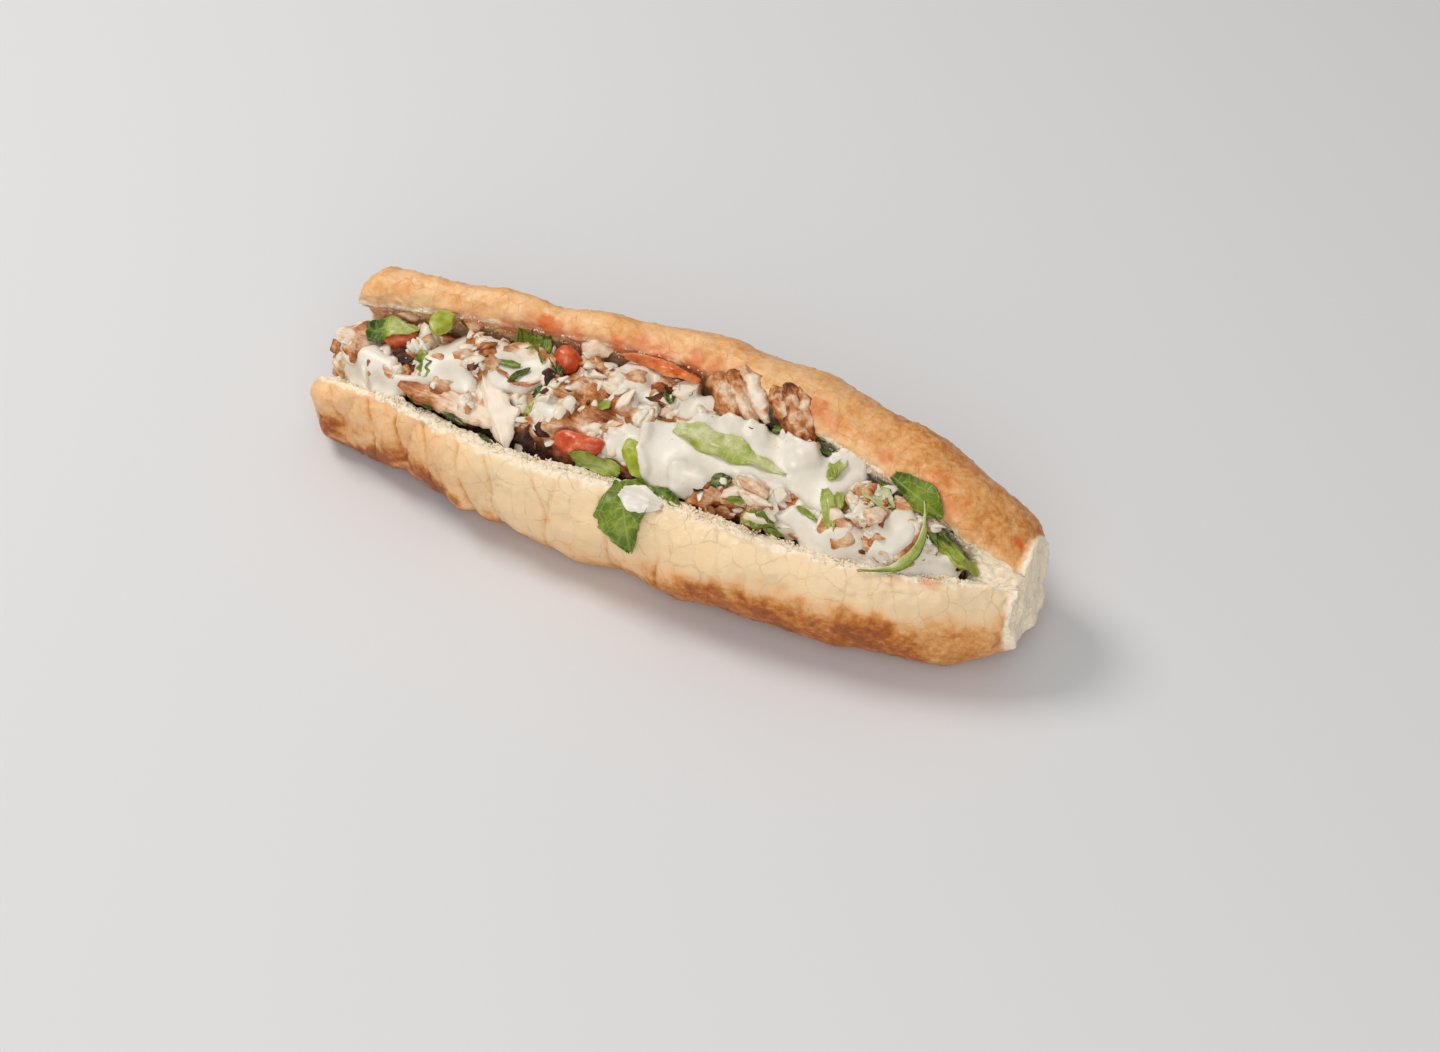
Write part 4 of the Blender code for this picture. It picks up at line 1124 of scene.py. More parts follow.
# Each piece: place along and across, lift, its three sizes, turn and tilt in degrees, tone, coat.
PIECES = (
    (-124, 0.56, -0.5, (9, 7, 6), 20, 10, 0.14, 0.1),
    (-125, 0.80, -1.5, (6, 3, 3), 60, 20, 0.40, 0.0),
    (-121, 0.72, -1.5, (6, 4, 3), -30, 0, 0.50, 0.0),
    (-103, 0.20, 0.5, (13, 3.2, 2.2), -70, 5, 0.40, 0.0),
    (-98, 0.70, -2.0, (7, 6, 4), 10, 0, 0.92, -0.5),
    (-86, 0.28, -0.5, (9, 6, 4), -20, 10, 0.52, 0.0),
    (-82, 0.42, -1.5, (8, 4, 4), 40, 0, 0.66, 0.0),
    (-78, 0.62, -2.0, (7, 4, 3.5), 80, 0, 0.78, -0.2),
    (-77, 0.78, -2.0, (5, 4, 3), 20, 0, 0.76, -0.2),
    (-74, 0.92, -1.0, (5, 4, 3), 20, 0, 0.62, 0.1),
    (-110, 0.02, 0.5, (8, 5, 3.5), 15, 10, 0.42, 0.0),
    (-98, 0.00, 1.0, (9, 6, 4), -10, 12, 0.50, 0.0),
    (-91, -0.10, 1.5, (9, 5, 4), 12, 20, 0.56, 0.0),
    (-84, 0.02, 1.0, (10, 6, 4), 10, 15, 0.48, 0.0),
    (-80, -0.14, 1.5, (10, 6, 4), -8, 20, 0.46, 0.0),
    (-70, -0.16, 1.5, (9, 5, 4), 14, 20, 0.58, 0.0),
    (-61, -0.14, 1.5, (9, 6, 4), -12, 20, 0.46, 0.0),
    (-52, -0.06, 1.5, (9, 6, 4), 20, 20, 0.52, 0.0),
    (-46, -0.12, 1.5, (8, 5, 4), -20, 20, 0.60, 0.0),
    (-13, -0.16, 1.5, (8, 6, 4), 12, 20, 0.50, 0.0),
    (-4, -0.10, 1.5, (8, 5, 4), -18, 20, 0.56, 0.0),
    (6, -0.06, 1.5, (8, 5, 4), 18, 20, 0.52, 0.0),
    (-74, -0.06, 1.0, (11, 6, 4), -10, 20, 0.52, 0.0),
    (-66, -0.08, 1.0, (8, 5, 4), 30, 20, 0.50, 0.0),
    (-42, 0.86, -2.0, (10, 7, 5), 50, 0, 1.0, -0.5),
    (-37, 0.80, -2.5, (9, 6, 4), -30, 0, 1.05, -0.5),
    (-39, 1.02, -2.0, (8, 4, 4), 10, 0, 0.95, -0.5),
    (-50, 0.98, -2.5, (7, 3, 3), 10, 0, 0.9, -0.5),
    (-45, 0.72, -1.5, (7, 4, 3), 20, 0, 0.96, -0.5),
    (-34.5, 0.02, 0.8, (10, 9, 8), 12, 8, 0.28, 0.0),
    (-37, -0.20, 2.0, (4, 4, 3.5), 12, 8, 0.18, 0.2),
    (-27, -0.05, 0.5, (9, 7, 5), -25, 10, 0.44, 0.0),
    (-20, -0.08, 0.8, (7, 5, 4), 35, 10, 0.50, 0.0),
    (-24, 0.20, -1.0, (5, 4, 3), 35, 10, 0.68, 0.0),
    (-48, 0.34, -1.0, (8, 6, 3.5), 35, 10, 1.05, -0.5),
    (-43, 0.42, -1.0, (9, 7, 3.5), -20, 10, 1.10, -0.5),
    (-46, 0.52, -1.5, (8, 5, 3.5), 10, 0, 1.05, -0.5),
    (-38, 0.34, -1.5, (7, 5, 3), 40, 0, 1.0, -0.5),
    (-3, 0.34, -0.8, (7, 5, 3), 40, 0, 0.95, -0.5),
    (0, 0.24, -1.0, (6, 4, 3), -20, 0, 1.0, -0.5),
    (-29, 0.28, -1.0, (6, 4, 3), 15, 0, 0.9, -0.5),
    (-20, 0.44, -1.0, (6, 3, 3), -40, 0, 0.88, -0.5),
    (-72, 0.30, 0.0, (7, 4, 3), 60, 0, 0.72, -0.3),
    (-70, 0.50, -0.5, (8, 4, 3), 75, 0, 0.86, -0.5),
    (-100, 0.62, -0.2, (9, 7, 4), 30, 0, 1.0, -0.5),
    (-25, 0.35, 0.3, (15, 6, 3), -20, 15, 0.22, 0.2),
    (-33, 0.57, 0.0, (9, 5, 3), -10, 5, 0.36, 0.1),
    (-12, 0.62, 0.0, (9, 3, 2.2), 25, 0, 0.42, 0.0),
    (-16, 0.68, 0.0, (7, 3, 2.2), -15, 0, 0.50, 0.1),
    (-9, 0.72, 0.0, (9, 6, 3.5), 10, 0, 0.22, 0.4),
    (-19, 0.72, 0.0, (8, 5, 3.5), 10, 0, 0.24, 0.35),
    (-14, 0.10, 1.0, (9, 6, 5), 30, 10, 0.16, 0.5),
    (-6, 0.14, 0.5, (8, 6, 5), -30, 10, 0.20, 0.4),
    (-3, 0.26, 0.0, (6, 5, 4), 60, 10, 0.70, 0.0),
    (-10, 0.36, 0.6, (11, 7, 4), 10, 5, 0.16, 0.5),
    (4, 0.30, -1.5, (8, 6, 4), 10, 5, 0.66, -0.4),
    (6, 0.18, 0.6, (9, 7, 5), 20, 10, 0.20, 0.5),
    (14, 0.22, 0.6, (9, 6, 4), -30, 10, 0.18, 0.5),
    (39, 0.80, 0.3, (9, 4, 2.5), 30, 5, 0.12, 0.1),
    (43, 0.84, 0.5, (11, 4.5, 2.5), 15, 10, 0.10, 0.1),
    (49, 0.80, 0.6, (12, 5, 3), 0, 5, 0.14, 0.1),
    (54, 0.72, 0.5, (9, 5, 3), -15, 5, 0.12, 0.1),
    (50, 0.90, 0.0, (10, 5, 3), 10, 5, 0.16, 0.3),
    (47, 0.68, 0.3, (12, 5, 3), -10, 5, 0.36, 0.0),
    (56, 0.64, 0.3, (7, 4, 3), -30, 5, 0.42, 0.0),
    (60, 0.60, 0.0, (5, 4, 3), 20, 5, 0.66, 0.0),
    (24, 1.04, -0.3, (8, 5, 4), 30, 10, 0.64, 0.0),
    (30, 1.00, 0.2, (9, 6, 4.5), -10, 10, 0.50, 0.0),
    (36, 0.98, -0.5, (8, 5, 4), 10, 10, 0.60, 0.0),
    (28, 0.86, -2.0, (6, 5, 4), 10, 10, 0.80, -0.4),
    (60, 0.92, 0.2, (11, 7, 4), 10, 5, 0.16, 0.55),
    (66, 0.98, 0.9, (8, 2.8, 2), -15, 5, 0.50, -0.4),
    (69, 1.02, 0.8, (5, 2.2, 2), 10, 5, 0.54, -0.4),
    (77, 0.96, 0.6, (12, 8, 5), -5, 5, 0.14, 0.6),
    (82, 0.66, -0.5, (7, 5, 4), 30, 5, 0.60, 0.0),
    (89, 0.54, 0.3, (8, 6, 5), 20, 5, 0.30, 0.0),
    (88, 0.86, -2.0, (7, 5, 4), 20, 5, 0.86, -0.5),
    (94, 0.72, 1.2, (4.5, 3, 2.5), 20, 5, 0.54, -0.4),
    (92, 0.80, 1.0, (3.5, 2.5, 2), 70, 5, 0.58, -0.4),
    (98, 0.02, 0.8, (9, 6, 4), 10, 5, 0.12, 0.2),
    (70, 0.02, 0.6, (9, 6, 5), 10, 5, 0.16, 0.5),
    (76, 0.00, 0.6, (7, 6, 4), -30, 5, 0.18, 0.5),
    (80, 0.44, 0.0, (6, 5, 3), -30, 5, 0.40, 0.3),
)
bm = bmesh.new()
layers = meat_layers(bm)
for k, (x, t, lift, size, turn, tilt, level, coat_here) in enumerate(PIECES):
    here = laid_on_heap(x, t, lift, over_all=t < 0.06)
    if here:
        pose = Euler((math.radians(tilt), 0, math.radians(turn))).to_matrix().to_4x4()
        morsel(bm, layers, here @ pose, size, level, coat_here, k + 500)
feature_morsels = show("chicken_pieces", bm, chicken)

# %% [markdown]
# The random morsels follow, each with a tone from pale meat to browned skin and its own coat of
# sauce. None is laid where a pool is deep. At the open end more of them cover the heap's end, found
# by rays along the roll, so that it looks chopped from there too.

# %% Small morsels
TRIES_ON_TOP, TRIES_AT_END = 640, 150
HEAP_X, HEAP_T = (-128, 116), (0.02, 0.99)
BIG_SHARE, BIG, SMALL = 0.4, (4.5, 8), (2.0, 4.5)
DROWNED = 0.8
LEFT_END = -112
TONES = (0.0, 0.04, 0.1, 0.16, 0.3, 0.5, 0.7, 0.95)
COATS = (0.1, 0.4, 0.55, 0.75)
END_TONES, END_COATS = (0.06, 0.2, 0.4, 0.6), (0.0, 0.3, 0.6)
rng = random.Random(4)
bm = bmesh.new()
layers = meat_layers(bm)
count = 0
for k in range(TRIES_ON_TOP):
    x, t = rng.uniform(*HEAP_X), rng.uniform(*HEAP_T)
    low, high = BIG if rng.random() < BIG_SHARE else SMALL
    size = (rng.uniform(low, high) * 1.5, rng.uniform(low, high) * 0.8, rng.uniform(low, high) * 0.5)
    level = rng.choice(TONES)
    level = min(level, 0.4) if x < -110 else level
    here = laid_on_heap(x, t, -0.3 * size[2])
    turn = turned(rng, 0.6)
    drowned = max(evenness * inside_by(outline, x, t * span(x)) for _, evenness, outline in outlines)
    if here and drowned < DROWNED and (x > LEFT_END or k % 5 < 2):
        detail = 3 if size[0] > 10 else 2
        morsel(bm, layers, here @ turn, size, level, rng.choice(COATS), k, detail)
        count += 1
for k in range(TRIES_AT_END):
    origin = Vector((-150, rng.uniform(-24, 26), rng.uniform(8, 50)))
    hit, normal, _, _ = heap_surface.ray_cast(origin, Vector((1, 0, 0)))
    if hit and hit.x < LEFT_END and normal.x < -0.3:
        here = frame_from(hit, Vector((0, 1, 0.2)), normal) @ turned(rng, 0.5)
        size = (rng.uniform(4, 10), rng.uniform(3, 6), rng.uniform(2, 4))
        morsel(bm, layers, here, size, rng.choice(END_TONES), rng.choice(END_COATS), k + 900, 2)
        count += 1
morsels = show("chicken_morsels", bm, chicken)
print(count, "morsels")

# %% [markdown]
# ## Sauce
#
# The sauce is thick and creamy. It settles in hollows, hangs over edges and coats what it runs down.
# So its surface starts from the height of what lies below, blurred as a liquid would level it, and
# is raised inside the outlines of the pools that the photograph shows. A pool's edge is rounded
# like a bead, because a thick sauce keeps a steep front.

# %% Sauce material
CREAM = {"Roughness": 0.36, "IOR": 1.42, "Subsurface Weight": 0.25, "Subsurface Scale": 0.003}
sauce, tree, body, place = new_material("creamy_garlic_sauce", CREAM)
cream = ramp(tree, mottling(tree, place, 9, Detail=3), (0.3, "#E0D5C4"), (0.6, "#EDE4D7"))
pepper = add(tree, "TexVoronoi", {"Scale": cells(2.4)}, {"Vector": place}).outputs["Distance"]
dot = ramp(tree, pepper, (0.06, 1.0), (0.1, 0.0))
few = ramp(tree, mottling(tree, place, 5), (0.56, 0.0), (0.62, 1.0))
peppered = mix(tree, calc(tree, "MULTIPLY", dot, few), cream, "#7A6A52")
finish(tree, body, peppered, mottling(tree, place, 3, Detail=3), strength=0.12, depth=0.4)

# %% Heights of the sauce
SAUCE_ROWS, SAUCE_COLUMNS = 310, 70
SAUCE_X = (-129, 122)
SAUCE_T = (-0.10, 1.16)
BEAD_WIDTH = 3.0
# What lies below counts between these heights over the mean top, and up to the last of them where a
# pool is fully even and covers it.
LOWEST, HIGHEST, HIGHEST_DROWNED = -3.0, 4.5, 8.0
FULLY_EVEN, COVERING = 0.95, 0.5


def bead(depth, lift):
    """The height of a pool's surface, from how far inside its outline a place is."""
    if depth <= 0:
        return 1.3 * depth
    near = 1 - min(1.0, depth / BEAD_WIDTH)
    return lift * math.sqrt(1 - near * near)


filling = [heap, feature_morsels, morsels, roll] + slices + tomatoes + ribs
filling_surface = search_tree(filling)
sauce_columns = SAUCE_COLUMNS + 1
spots, heights, levels, evens = [], [], [], []
for i in range(SAUCE_ROWS + 1):
    x = blend(*SAUCE_X, i / SAUCE_ROWS)
    width = span(x)
    for j in range(SAUCE_COLUMNS + 1):
        t = blend(*SAUCE_T, j / SAUCE_COLUMNS)
        here = seat(x, t)
        origin, out = here.translation, here.col[2].xyz
        spots.append((origin, out))
        wander = Vector((x, t * width, 0))
        dx, dy = 1.3 * noise_at(wander, 5), 1.3 * noise_at(wander, 5, (7, 3, 1))
        level, even = -9.0, 0.0
        for (lift, evenness, outline), (low, high) in zip(outlines, boxes):
            if low < x < high:
                here_level = bead(inside_by(outline, x + dx, t * width + dy), lift)
                if here_level > level:
                    level, even = here_level, evenness
        levels.append(level)
        evens.append(even)
        highest = HIGHEST_DROWNED if even > FULLY_EVEN and level > COVERING else HIGHEST
        below = height_over(filling_surface, origin, out, LOWEST)
        heights.append(min(highest, max(LOWEST, below)))
print("sauce measured at", len(spots), "places")


# %% Sauce sheet
def blurred(values, rounds):
    """Heights, each evened out with its four neighbours a number of times."""
    for _ in range(rounds):
        softer = values[:]
        for i in range(1, SAUCE_ROWS):
            for j in range(1, SAUCE_COLUMNS):
                k = i * sauce_columns + j
                near = values[k - sauce_columns] + values[k + sauce_columns]
                near = near + values[k - 1] + values[k + 1]
                softer[k] = 0.2 * values[k] + 0.2 * near
        values = softer
    return values


# Where a pool is fully even, it also covers the peaks of what lies below.
THIN_ROUNDS, EVEN_ROUNDS = 2, 26
OVER_PEAKS = 0.4
DRY_BELOW = -2.6
SAUCE_SKIN = 0.9
SAUCE_PLACES = ("left", "middle", "chunks", "pool", "front", "right")
last = len(heights) - 1
near = (-sauce_columns, -1, 0, 1, sauce_columns)
peaks = [max(heights[min(last, max(0, k + n))] for n in near) for k in range(len(heights))]
thin_base = blurred(heights, THIN_ROUNDS)
even_base = blurred(thin_base, EVEN_ROUNDS)
base = [blend(a, b, e) for a, b, e in zip(thin_base, even_base, evens)]
base = blurred(base, THIN_ROUNDS)
bm = bmesh.new()
bmesh.ops.create_grid(bm, x_segments=SAUCE_ROWS, y_segments=SAUCE_COLUMNS, size=1)
dry, covered = [], 0
for v in bm.verts:
    i, j = grid_place(v, SAUCE_ROWS, SAUCE_COLUMNS)
    k = i * sauce_columns + j
    origin, out = spots[k]
    top = base[k] + max(levels[k], LOWEST)
    if evens[k] > FULLY_EVEN and levels[k] > COVERING:
        top = max(top, peaks[k] + OVER_PEAKS)
    v.co = origin + out * top
    covered += levels[k] > 0
    if levels[k] < DRY_BELOW:
        dry.append(v)
soften(bm)
bmesh.ops.delete(bm, geom=dry, context="VERTS")
thicken(bm, SAUCE_SKIN)
sauce_nodes = ["sauce_" + place for place in SAUCE_PLACES]
sauce_sheet = show("creamy_sauce", bm, sauce, sauce_nodes)
print("sauce covers", round(100 * covered / len(spots)), "% of the filling")

# %% [markdown]
# ## Leaves
#
# Torn lettuce and chopped herbs lie on top. Each leaf starts as a grid whose UV map runs along and
# across it in millimetres. Two rows of half-widths give the outline of its two sides, noise tears
# the edge, and it is laid over what is below like a cloth pulled taut, then waved and curled. The
# veins are a fine net of pale lines, drawn on the UV map.

# %% Leaf material
BLADE = {"Roughness": 0.36, "IOR": 1.4, "Subsurface Weight": 0.15, "Subsurface Scale": 0.002}
leaf_green, tree, body, place = new_material("fresh_salad_leaf", BLADE)
leaf_map = add(tree, "UVMap", {"uv_map": "leaf"}).outputs["UV"]
across = add(tree, "SeparateXYZ", {}, {0: leaf_map}).outputs[1]
net = add(tree, "TexVoronoi", {"Scale": 0.30, "feature": "DISTANCE_TO_EDGE"}, {"Vector": leaf_map})
side_vein = ramp(tree, net.outputs["Distance"], (0.0, 0.8), (0.09, 0.0))
middle = ramp(tree, calc(tree, "ABSOLUTE", across), (0.18, 0.9), (0.5, 0.0))
vein = calc(tree, "MAXIMUM", side_vein, middle)
blotch = mottling(tree, place, 4, Detail=5)
tint = calc(tree, "MULTIPLY_ADD", blotch, 0.7, -0.35)
blade = ramp(
    tree,
    calc(tree, "ADD", attribute(tree, "depth"), tint),
    (0.0, "#DEDCC0"),
    (0.18, "#C2C48A"),
    (0.38, "#9CA844"),
    (0.58, "#758A20"),
    (0.78, "#526A14"),
    (1.0, "#2C3E0C"),
)
veined = mix(tree, calc(tree, "MULTIPLY", vein, 0.32), blade, "#BFC67E")
finish(tree, body, veined, calc(tree, "ADD", vein, blotch), strength=0.5, depth=0.35)

# %% Laying a leaf
LEAF_THICKNESS = 0.4
DAB_THICKNESS = 0.6
DRAPE_ROUNDS = 24
LEAF_CELL = 0.6


def lay_leaf(bm, layers, here, length, sides, depths, below, wave, bow, seed, lift, climb=4.5):
    """Adds a leaf along a frame's first axis, from the half-widths of its two sides.

    It bows sideways and its edges wave, by so many millimetres. It follows what is below up to the
    climb, and its middle lies that lift over it.
    """
    uv_layer, depth_layer = layers
    left, right = sides
    widest = max(max(left), max(right))
    rows = max(10, round(length / LEAF_CELL))
    columns = 2 * max(4, round(widest / LEAF_CELL))
    out = here.to_3x3() @ Vector((0, 0, 1))
    made = bmesh.ops.create_grid(bm, x_segments=rows, y_segments=columns, size=1, calc_uvs=True)
    keys, floor, places, maps = {}, {}, {}, {}
    for v in made["verts"]:
        u, w = (v.co.x + 1) / 2, v.co.y
        key = grid_place(v, rows, columns)
        half = along_profile(left if w > 0 else right, u)
        torn = 1 + 0.12 * noise.noise(Vector((u * length / 3.5, w, seed * 3.7)))
        torn += 0.09 * noise.noise(Vector((u * length / 1.3, w, seed)))
        flat = Vector((length * (u - 0.5), half * w * torn + bow * 4 * u * (1 - u), 0))
        flat.x += 0.9 * noise.noise(Vector((w * 3, seed, u * 2))) * abs(2 * u - 1)
        keys[v], maps[key] = key, (flat.x + seed * 17, half * w)
        places[key] = here @ flat
        floor[key] = min(climb, height_over(below, places[key], out, -2.0))
    heights = dict(floor)
    for _ in range(DRAPE_ROUNDS):
        softer = {}
        for (i, j), h in heights.items():
            beside = ((i + 1, j), (i - 1, j), (i, j + 1), (i, j - 1))
            near = [heights[n] for n in beside if n in heights]
            softer[i, j] = max(floor[i, j] - 0.5, sum(near) / len(near))
        heights = softer
    for v in made["verts"]:
        key = keys[v]
        u, w = key[0] / rows, 2 * key[1] / columns - 1
        rise = wave * (1 + math.sin(seed + length * u / 2.2 + 2.5 * w)) * abs(w) ** 1.5
        crease = 0.45 * math.exp(-((w / 0.14) ** 2)) + 0.5 * noise_at(places[key], 2.6)
        v.co = places[key] + out * (heights[key] + lift + rise - crease)
        shades = [along_profile(depths[side % len(depths)], u) for side in (0, 1)]
        v[depth_layer] = blend(shades[1], shades[0], (w + 1) / 2) + 0.15 * (abs(w) - 0.5)
        for loop in v.link_loops:
            loop[uv_layer].uv = maps[key]


def leaf_mesh():
    bm = bmesh.new()
    uv_layer = bm.loops.layers.uv.new("leaf")
    return bm, (uv_layer, bm.verts.layers.float.new("depth"))


def show_leaf(name, bm, replaced=()):
    thicken(bm, LEAF_THICKNESS)
    return show(name, bm, leaf_green, replaced)


# %% Leaves in their places
def leaf_frame(middle, along, out):
    return frame_from(Vector(middle) + DESIGN_SHIFT, Vector(along), Vector(out))


rim_frame = leaf_frame((6.5, -39, 37.5), (0.42, -0.6, -0.62), (0.1, -0.75, 0.66))
lid_frame = leaf_frame((99, -1, 54.5), (20, -5, -5), (0.1, -0.6, 0.8))
# Each leaf: its node, frame and length, the half-widths of its two sides, how much it waves and
# bows, and its depth of green from end to end, for both sides at once or for each.
LEAVES = (
    (
        "leaf_left",
        between((-119, 0.52), (-101, 0.22)),
        19,
        ((3, 5.5, 4, 5.5, 5, 3), (4, 5, 4.4, 4.6, 4, 2)),
        (0.5, 0),
        ((0.9, 0.8, 0.3, 0.2, 0.35),),
    ),
    (
        "leaf_left_small",
        between((-93, 0.54), (-88, 0.78)),
        11,
        ((1, 2.4, 1.2, 3.4, 1.2, 2.4, 1), (1, 1.6, 3, 1, 2.6, 1, 0.5)),
        (0.8, 0),
        ((0.5, 0.7, 0.35),),
    ),
    (
        "leaf_curly",
        between((-67, -0.02), (-52, 0.24)),
        16,
        ((1, 4.6, 1.6, 5.4, 1.8, 4.2, 1), (1, 2.6, 5, 1.6, 4.4, 1.4, 0.8)),
        (1.5, 0),
        ((0.56, 0.7, 0.5, 0.76),),
    ),
    (
        "leaf_strip",
        between((-22, 0.96), (-5, 0.97)),
        18,
        ((1, 2.5, 3, 3, 3.4, 2), (1, 2, 2.4, 3, 3, 2)),
        (0.6, 0),
        ((0.62, 0.5, 0.42, 0.3), (0.3, 0.25, 0.3, 0.5)),
    ),
    (
        "leaf_behind",
        between((3, 1.02), (24, 1.06)),
        19,
        ((1, 2, 3, 4, 3, 1), (1, 2.5, 3, 3.5, 3, 1.4)),
        (0.8, 0),
        ((0.62, 0.7, 0.75, 0.8),),
    ),
    (
        "leaf_rim",
        rim_frame,
        25,
        ((5, 10.5, 9, 6, 3.6, 0.6), (3.5, 8, 11, 10, 6, 0.8)),
        (0.7, 0),
        ((0.72, 0.66, 0.66, 0.74),),
    ),
    (
        "leaf_on_sauce",
        between((8, 0.51), (54, 0.47)),
        45,
        ((2.2, 4.6, 4.2, 5.4, 5, 2.6, 1.8, 0.6), (1.8, 2.6, 4.6, 3.8, 4.2, 1.8, 1.4, 0.5)),
        (0.8, 0),
        ((0.06, 0.12, 0.16, 0.26, 0.16, 0.04), (0.16, 0.3, 0.34, 0.4, 0.24, 0.1)),
    ),
    (
        "leaf_front_small",
        between((45, 0.95), (57, 0.93)),
        12,
        ((1, 2.4, 4, 1.6, 4, 2, 1), (1, 2, 1.2, 3, 1.2, 2, 1)),
        (1.0, 0),
        ((0.5, 0.62, 0.7),),
    ),
    (
        "leaf_lid",
        lid_frame,
        23,
        ((2, 4, 5.6, 6.8, 4.4, 0.8), (1, 1.5, 3, 4, 3.4, 0.6)),
        (0.9, 0),
        ((0.84, 0.74, 0.6, 0.6, 0.7),),
    ),
    (
        "leaf_right",
        between((113, 0.24), (124, 0.92)),
        19,
        ((1, 2, 3, 1.6, 3, 1), (1, 2.8, 2, 3.4, 2.4, 1)),
        (0.9, 0),
        ((0.44, 0.5, 0.4),),
    ),
    (
        "leaf_cup",
        between((101, 0.16), (93, 1.10)),
        33,
        ((0.5, 1.2, 1.6, 2.0, 1.8, 1.2, 0.5), (0.5, 1, 1.4, 1.8, 1.6, 1, 0.4)),
        (0.4, 10),
        ((0.5, 0.62, 0.7, 0.66, 0.5), (0.0, 0.05, 0.15, 0.05, 0.0)),
    ),
)
# Leaves that stand clear of small pieces below them.
STANDING = ("leaf_rim", "leaf_left", "leaf_lid", "leaf_cup")
dressed = filling + [sauce_sheet]
leaves = []
for k, (node, here, length, sides, (wave, bow), depths) in enumerate(LEAVES):
    bm, layers = leaf_mesh()
    lift, climb = (1.4, 10) if node in STANDING else (0.6, 4.5)
    below = search_tree(dressed + leaves)
    lay_leaf(bm, layers, here, length, sides, depths, below, wave, bow, k + 1, lift, climb)
    leaves.append(show_leaf("salad_" + node, bm, [node]))

# A dab of sauce has run onto the leaf that hangs over the rim.
bm, layers = leaf_mesh()
here = rim_frame @ Matrix.Translation((-5.4, 6.2, 0)) @ Matrix.Rotation(math.radians(62), 4, "Z")
sides = ((1.6, 3.2, 4.4, 3.6, 2.4, 1.0), (1.8, 4.0, 5.2, 4.6, 3.2, 1.2))
below = search_tree(dressed + leaves)
pale = ((0, 0),)
lay_leaf(bm, layers, here, 16, sides, pale, below, wave=0, bow=0, seed=77, lift=0.9, climb=10)
thicken(bm, DAB_THICKNESS)
show("sauce_dab", bm, sauce)

# %% [markdown]
# Shreds of herb and lettuce lie between the larger leaves and show in the gaps. They are laid the
# same way, all in one mesh. The darkest, narrow ones in the gaps are partly real leaf and partly
# painted shade: their near-black green stands in for the shadow there.

# %% Chopped herbs
# Each shred: where it runs from and to, its half-width and its depth of green, which in the
# darkest ones is partly painted shade.
SHREDS = (
    ((-66, 0.42), (-57, 0.36), 1.3, 0.6),
    ((-57, 0.56), (-53, 0.36), 1.4, 0.9),
    ((-56, -0.04), (-50, 0.30), 2.0, 0.7),
    ((-100, -0.10), (-84, 0.04), 0.7, 0.95),
    ((-42, 1.12), (-40, 1.08), 1.6, 0.55),
    ((-90, 0.98), (-78, 0.96), 1.6, 0.95),
    ((-76, 0.98), (-66, 0.99), 1.0, 1.1),
    ((-60, 1.0), (-52, 1.04), 0.8, 1.1),
    ((-49, 0.14), (-40, 0.40), 2.2, 1.0),
    ((-40, 0.42), (-46, 0.60), 2.2, 0.98),
    ((-21, 0.55), (-17, 0.50), 1.6, 0.45),
    ((-46, 0.62), (-45, 0.74), 1.6, 0.35),
    ((-3, 0.16), (3, 0.34), 2.2, 0.85),
    ((2, 0.10), (8, 0.22), 1.6, 0.62),
    ((33, 0.24), (40, 0.18), 1.8, 0.8),
    ((41, 0.14), (48, 0.08), 1.6, 0.85),
    ((57, 0.02), (64, -0.06), 2.0, 0.72),
    ((54, 0.10), (66, 0.06), 1.4, 0.8),
    ((30, 0.80), (37, 0.72), 2.6, 0.95),
    ((38, 0.86), (45, 0.84), 1.2, 0.5),
    ((62, 0.70), (70, 0.76), 1.1, 0.45),
    ((69, 0.42), (78, 0.86), 2.6, 0.36),
    ((74, 0.40), (76, 0.66), 2.2, 0.30),
    ((68, 0.36), (70, 0.02), 2.2, 0.34),
    ((81, 0.24), (93, 0.30), 4.6, 0.16),
    ((66, 0.16), (70, 0.30), 1.4, 0.3),
    ((84, 0.02), (92, 0.30), 1.2, 0.7),
    ((104, 0.24), (112, 0.60), 2.2, 0.95),
    ((106, 0.20), (116, 0.50), 1.6, 0.9),
    ((112, 0.10), (121, 0.30), 1.4, 0.9),
    ((55, 0.98), (60, 1.0), 1.0, 0.6),
    ((-112, 0.26), (-108, 0.20), 1.6, 0.8),
)
SHRED_SIDES = ((0.4, 1, 1.1, 0.8, 0.3), (0.5, 1, 0.8, 1, 0.3))
bm, layers = leaf_mesh()
for k, (start, end, half, green_and_gap_shade) in enumerate(SHREDS):
    here = between(start, end)
    length = (seat(*end).translation - seat(*start).translation).length
    sides = [[half * share for share in shares] for shares in SHRED_SIDES]
    depths = ((green_and_gap_shade, green_and_gap_shade),)
    lay_leaf(bm, layers, here, length, sides, depths, below, 0.5, 0, k + 40, lift=0.35)
show_leaf("chopped_herbs", bm)

# %% [markdown]
# ## Floor, light and camera
#
# The floor is plain and pale. Light comes from large soft lamps, the strongest high on the left, as
# in the photograph, so the shadow falls short and soft to the right. The camera looks down at 45
# degrees, turned 27 degrees to the right of the roll's side.

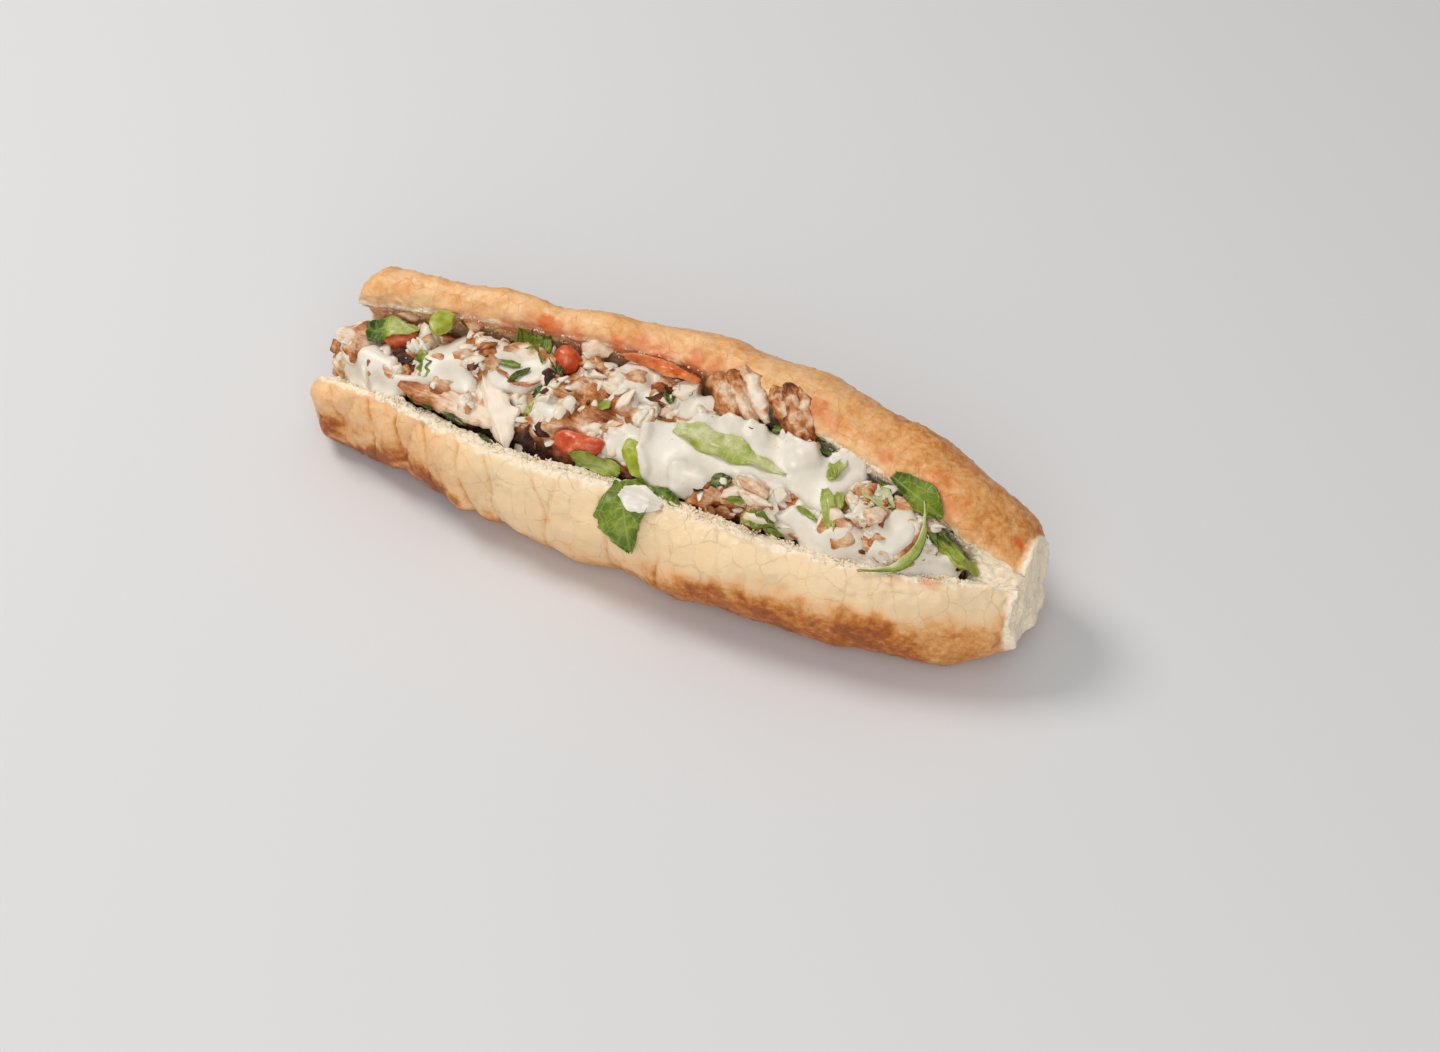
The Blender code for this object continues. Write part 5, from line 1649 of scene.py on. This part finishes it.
# %% Stage
FLOOR_HALF = 4
STUDIO_LIGHT = 0.42
floor_paint, tree, body, place = new_material("matt_white_floor", {"Roughness": 0.9})
body.inputs["Base Color"].default_value = linear("#DADBDE")
bm = bmesh.new()
bmesh.ops.create_grid(bm, x_segments=1, y_segments=1, size=FLOOR_HALF)
mesh = bpy.data.meshes.new("floor")
bm.to_mesh(mesh)
bm.free()
mesh.materials.append(floor_paint)
floor = bpy.data.objects.new("floor", mesh)
bpy.context.scene.collection.objects.link(floor)
floor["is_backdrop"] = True

world = bpy.data.worlds.new("studio")
bpy.context.scene.world = world
world.use_nodes = True
world.node_tree.nodes["Background"].inputs["Color"].default_value = linear("#FAF9F7")
world.node_tree.nodes["Background"].inputs["Strength"].default_value = STUDIO_LIGHT


def soft_lamp(name, position, size, power, colour):
    light = bpy.data.lights.new(name, "AREA")
    light.shape = "DISK"
    light.size = size
    light.energy = power
    light.color = linear(colour)[:3]
    lamp = bpy.data.objects.new(name, light)
    lamp.location = position
    lamp.rotation_euler = (-Vector(position)).to_track_quat("-Z", "Y").to_euler()
    bpy.context.scene.collection.objects.link(lamp)
    print("lamp:", name, power, "W")


soft_lamp("key", (-0.8, 0.05, 1.15), size=0.6, power=9.6, colour="#FFFAF3")
soft_lamp("fill", (0.5, -1.1, 0.9), size=1.2, power=8.6, colour="#FFFCF8")

# %% Camera
AZIMUTH, ELEVATION = math.radians(27), math.radians(45)
DISTANCE = 1.02
AIM = (0.0206, 0.0048, 0)
SENSOR, FOCAL_LENGTH = 36, 70
aim = Vector(AIM) + DESIGN_SHIFT * MM
back = Vector(
    (
        math.sin(AZIMUTH) * math.cos(ELEVATION),
        -math.cos(AZIMUTH) * math.cos(ELEVATION),
        math.sin(ELEVATION),
    )
)
lens = bpy.data.cameras.new("camera")
lens.sensor_width = SENSOR
lens.lens = FOCAL_LENGTH
camera = bpy.data.objects.new("camera", lens)
camera.location = aim + back * DISTANCE
camera.rotation_euler = (-back).to_track_quat("-Z", "Y").to_euler()
bpy.context.scene.collection.objects.link(camera)
bpy.context.scene.camera = camera
print("camera:", DISTANCE, "m away")
bpy.context.scene.view_settings.view_transform = "Standard"

# %% The size and the end
dressed_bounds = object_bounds()
sizes = {"cad": [list(c) for c in cad_bounds], "visual": [list(c) for c in dressed_bounds]}
for corner, solid in zip(sizes["visual"], sizes["cad"]):
    print("past the solids, in mm:", [round((a - b) / MM, 1) for a, b in zip(corner, solid)])
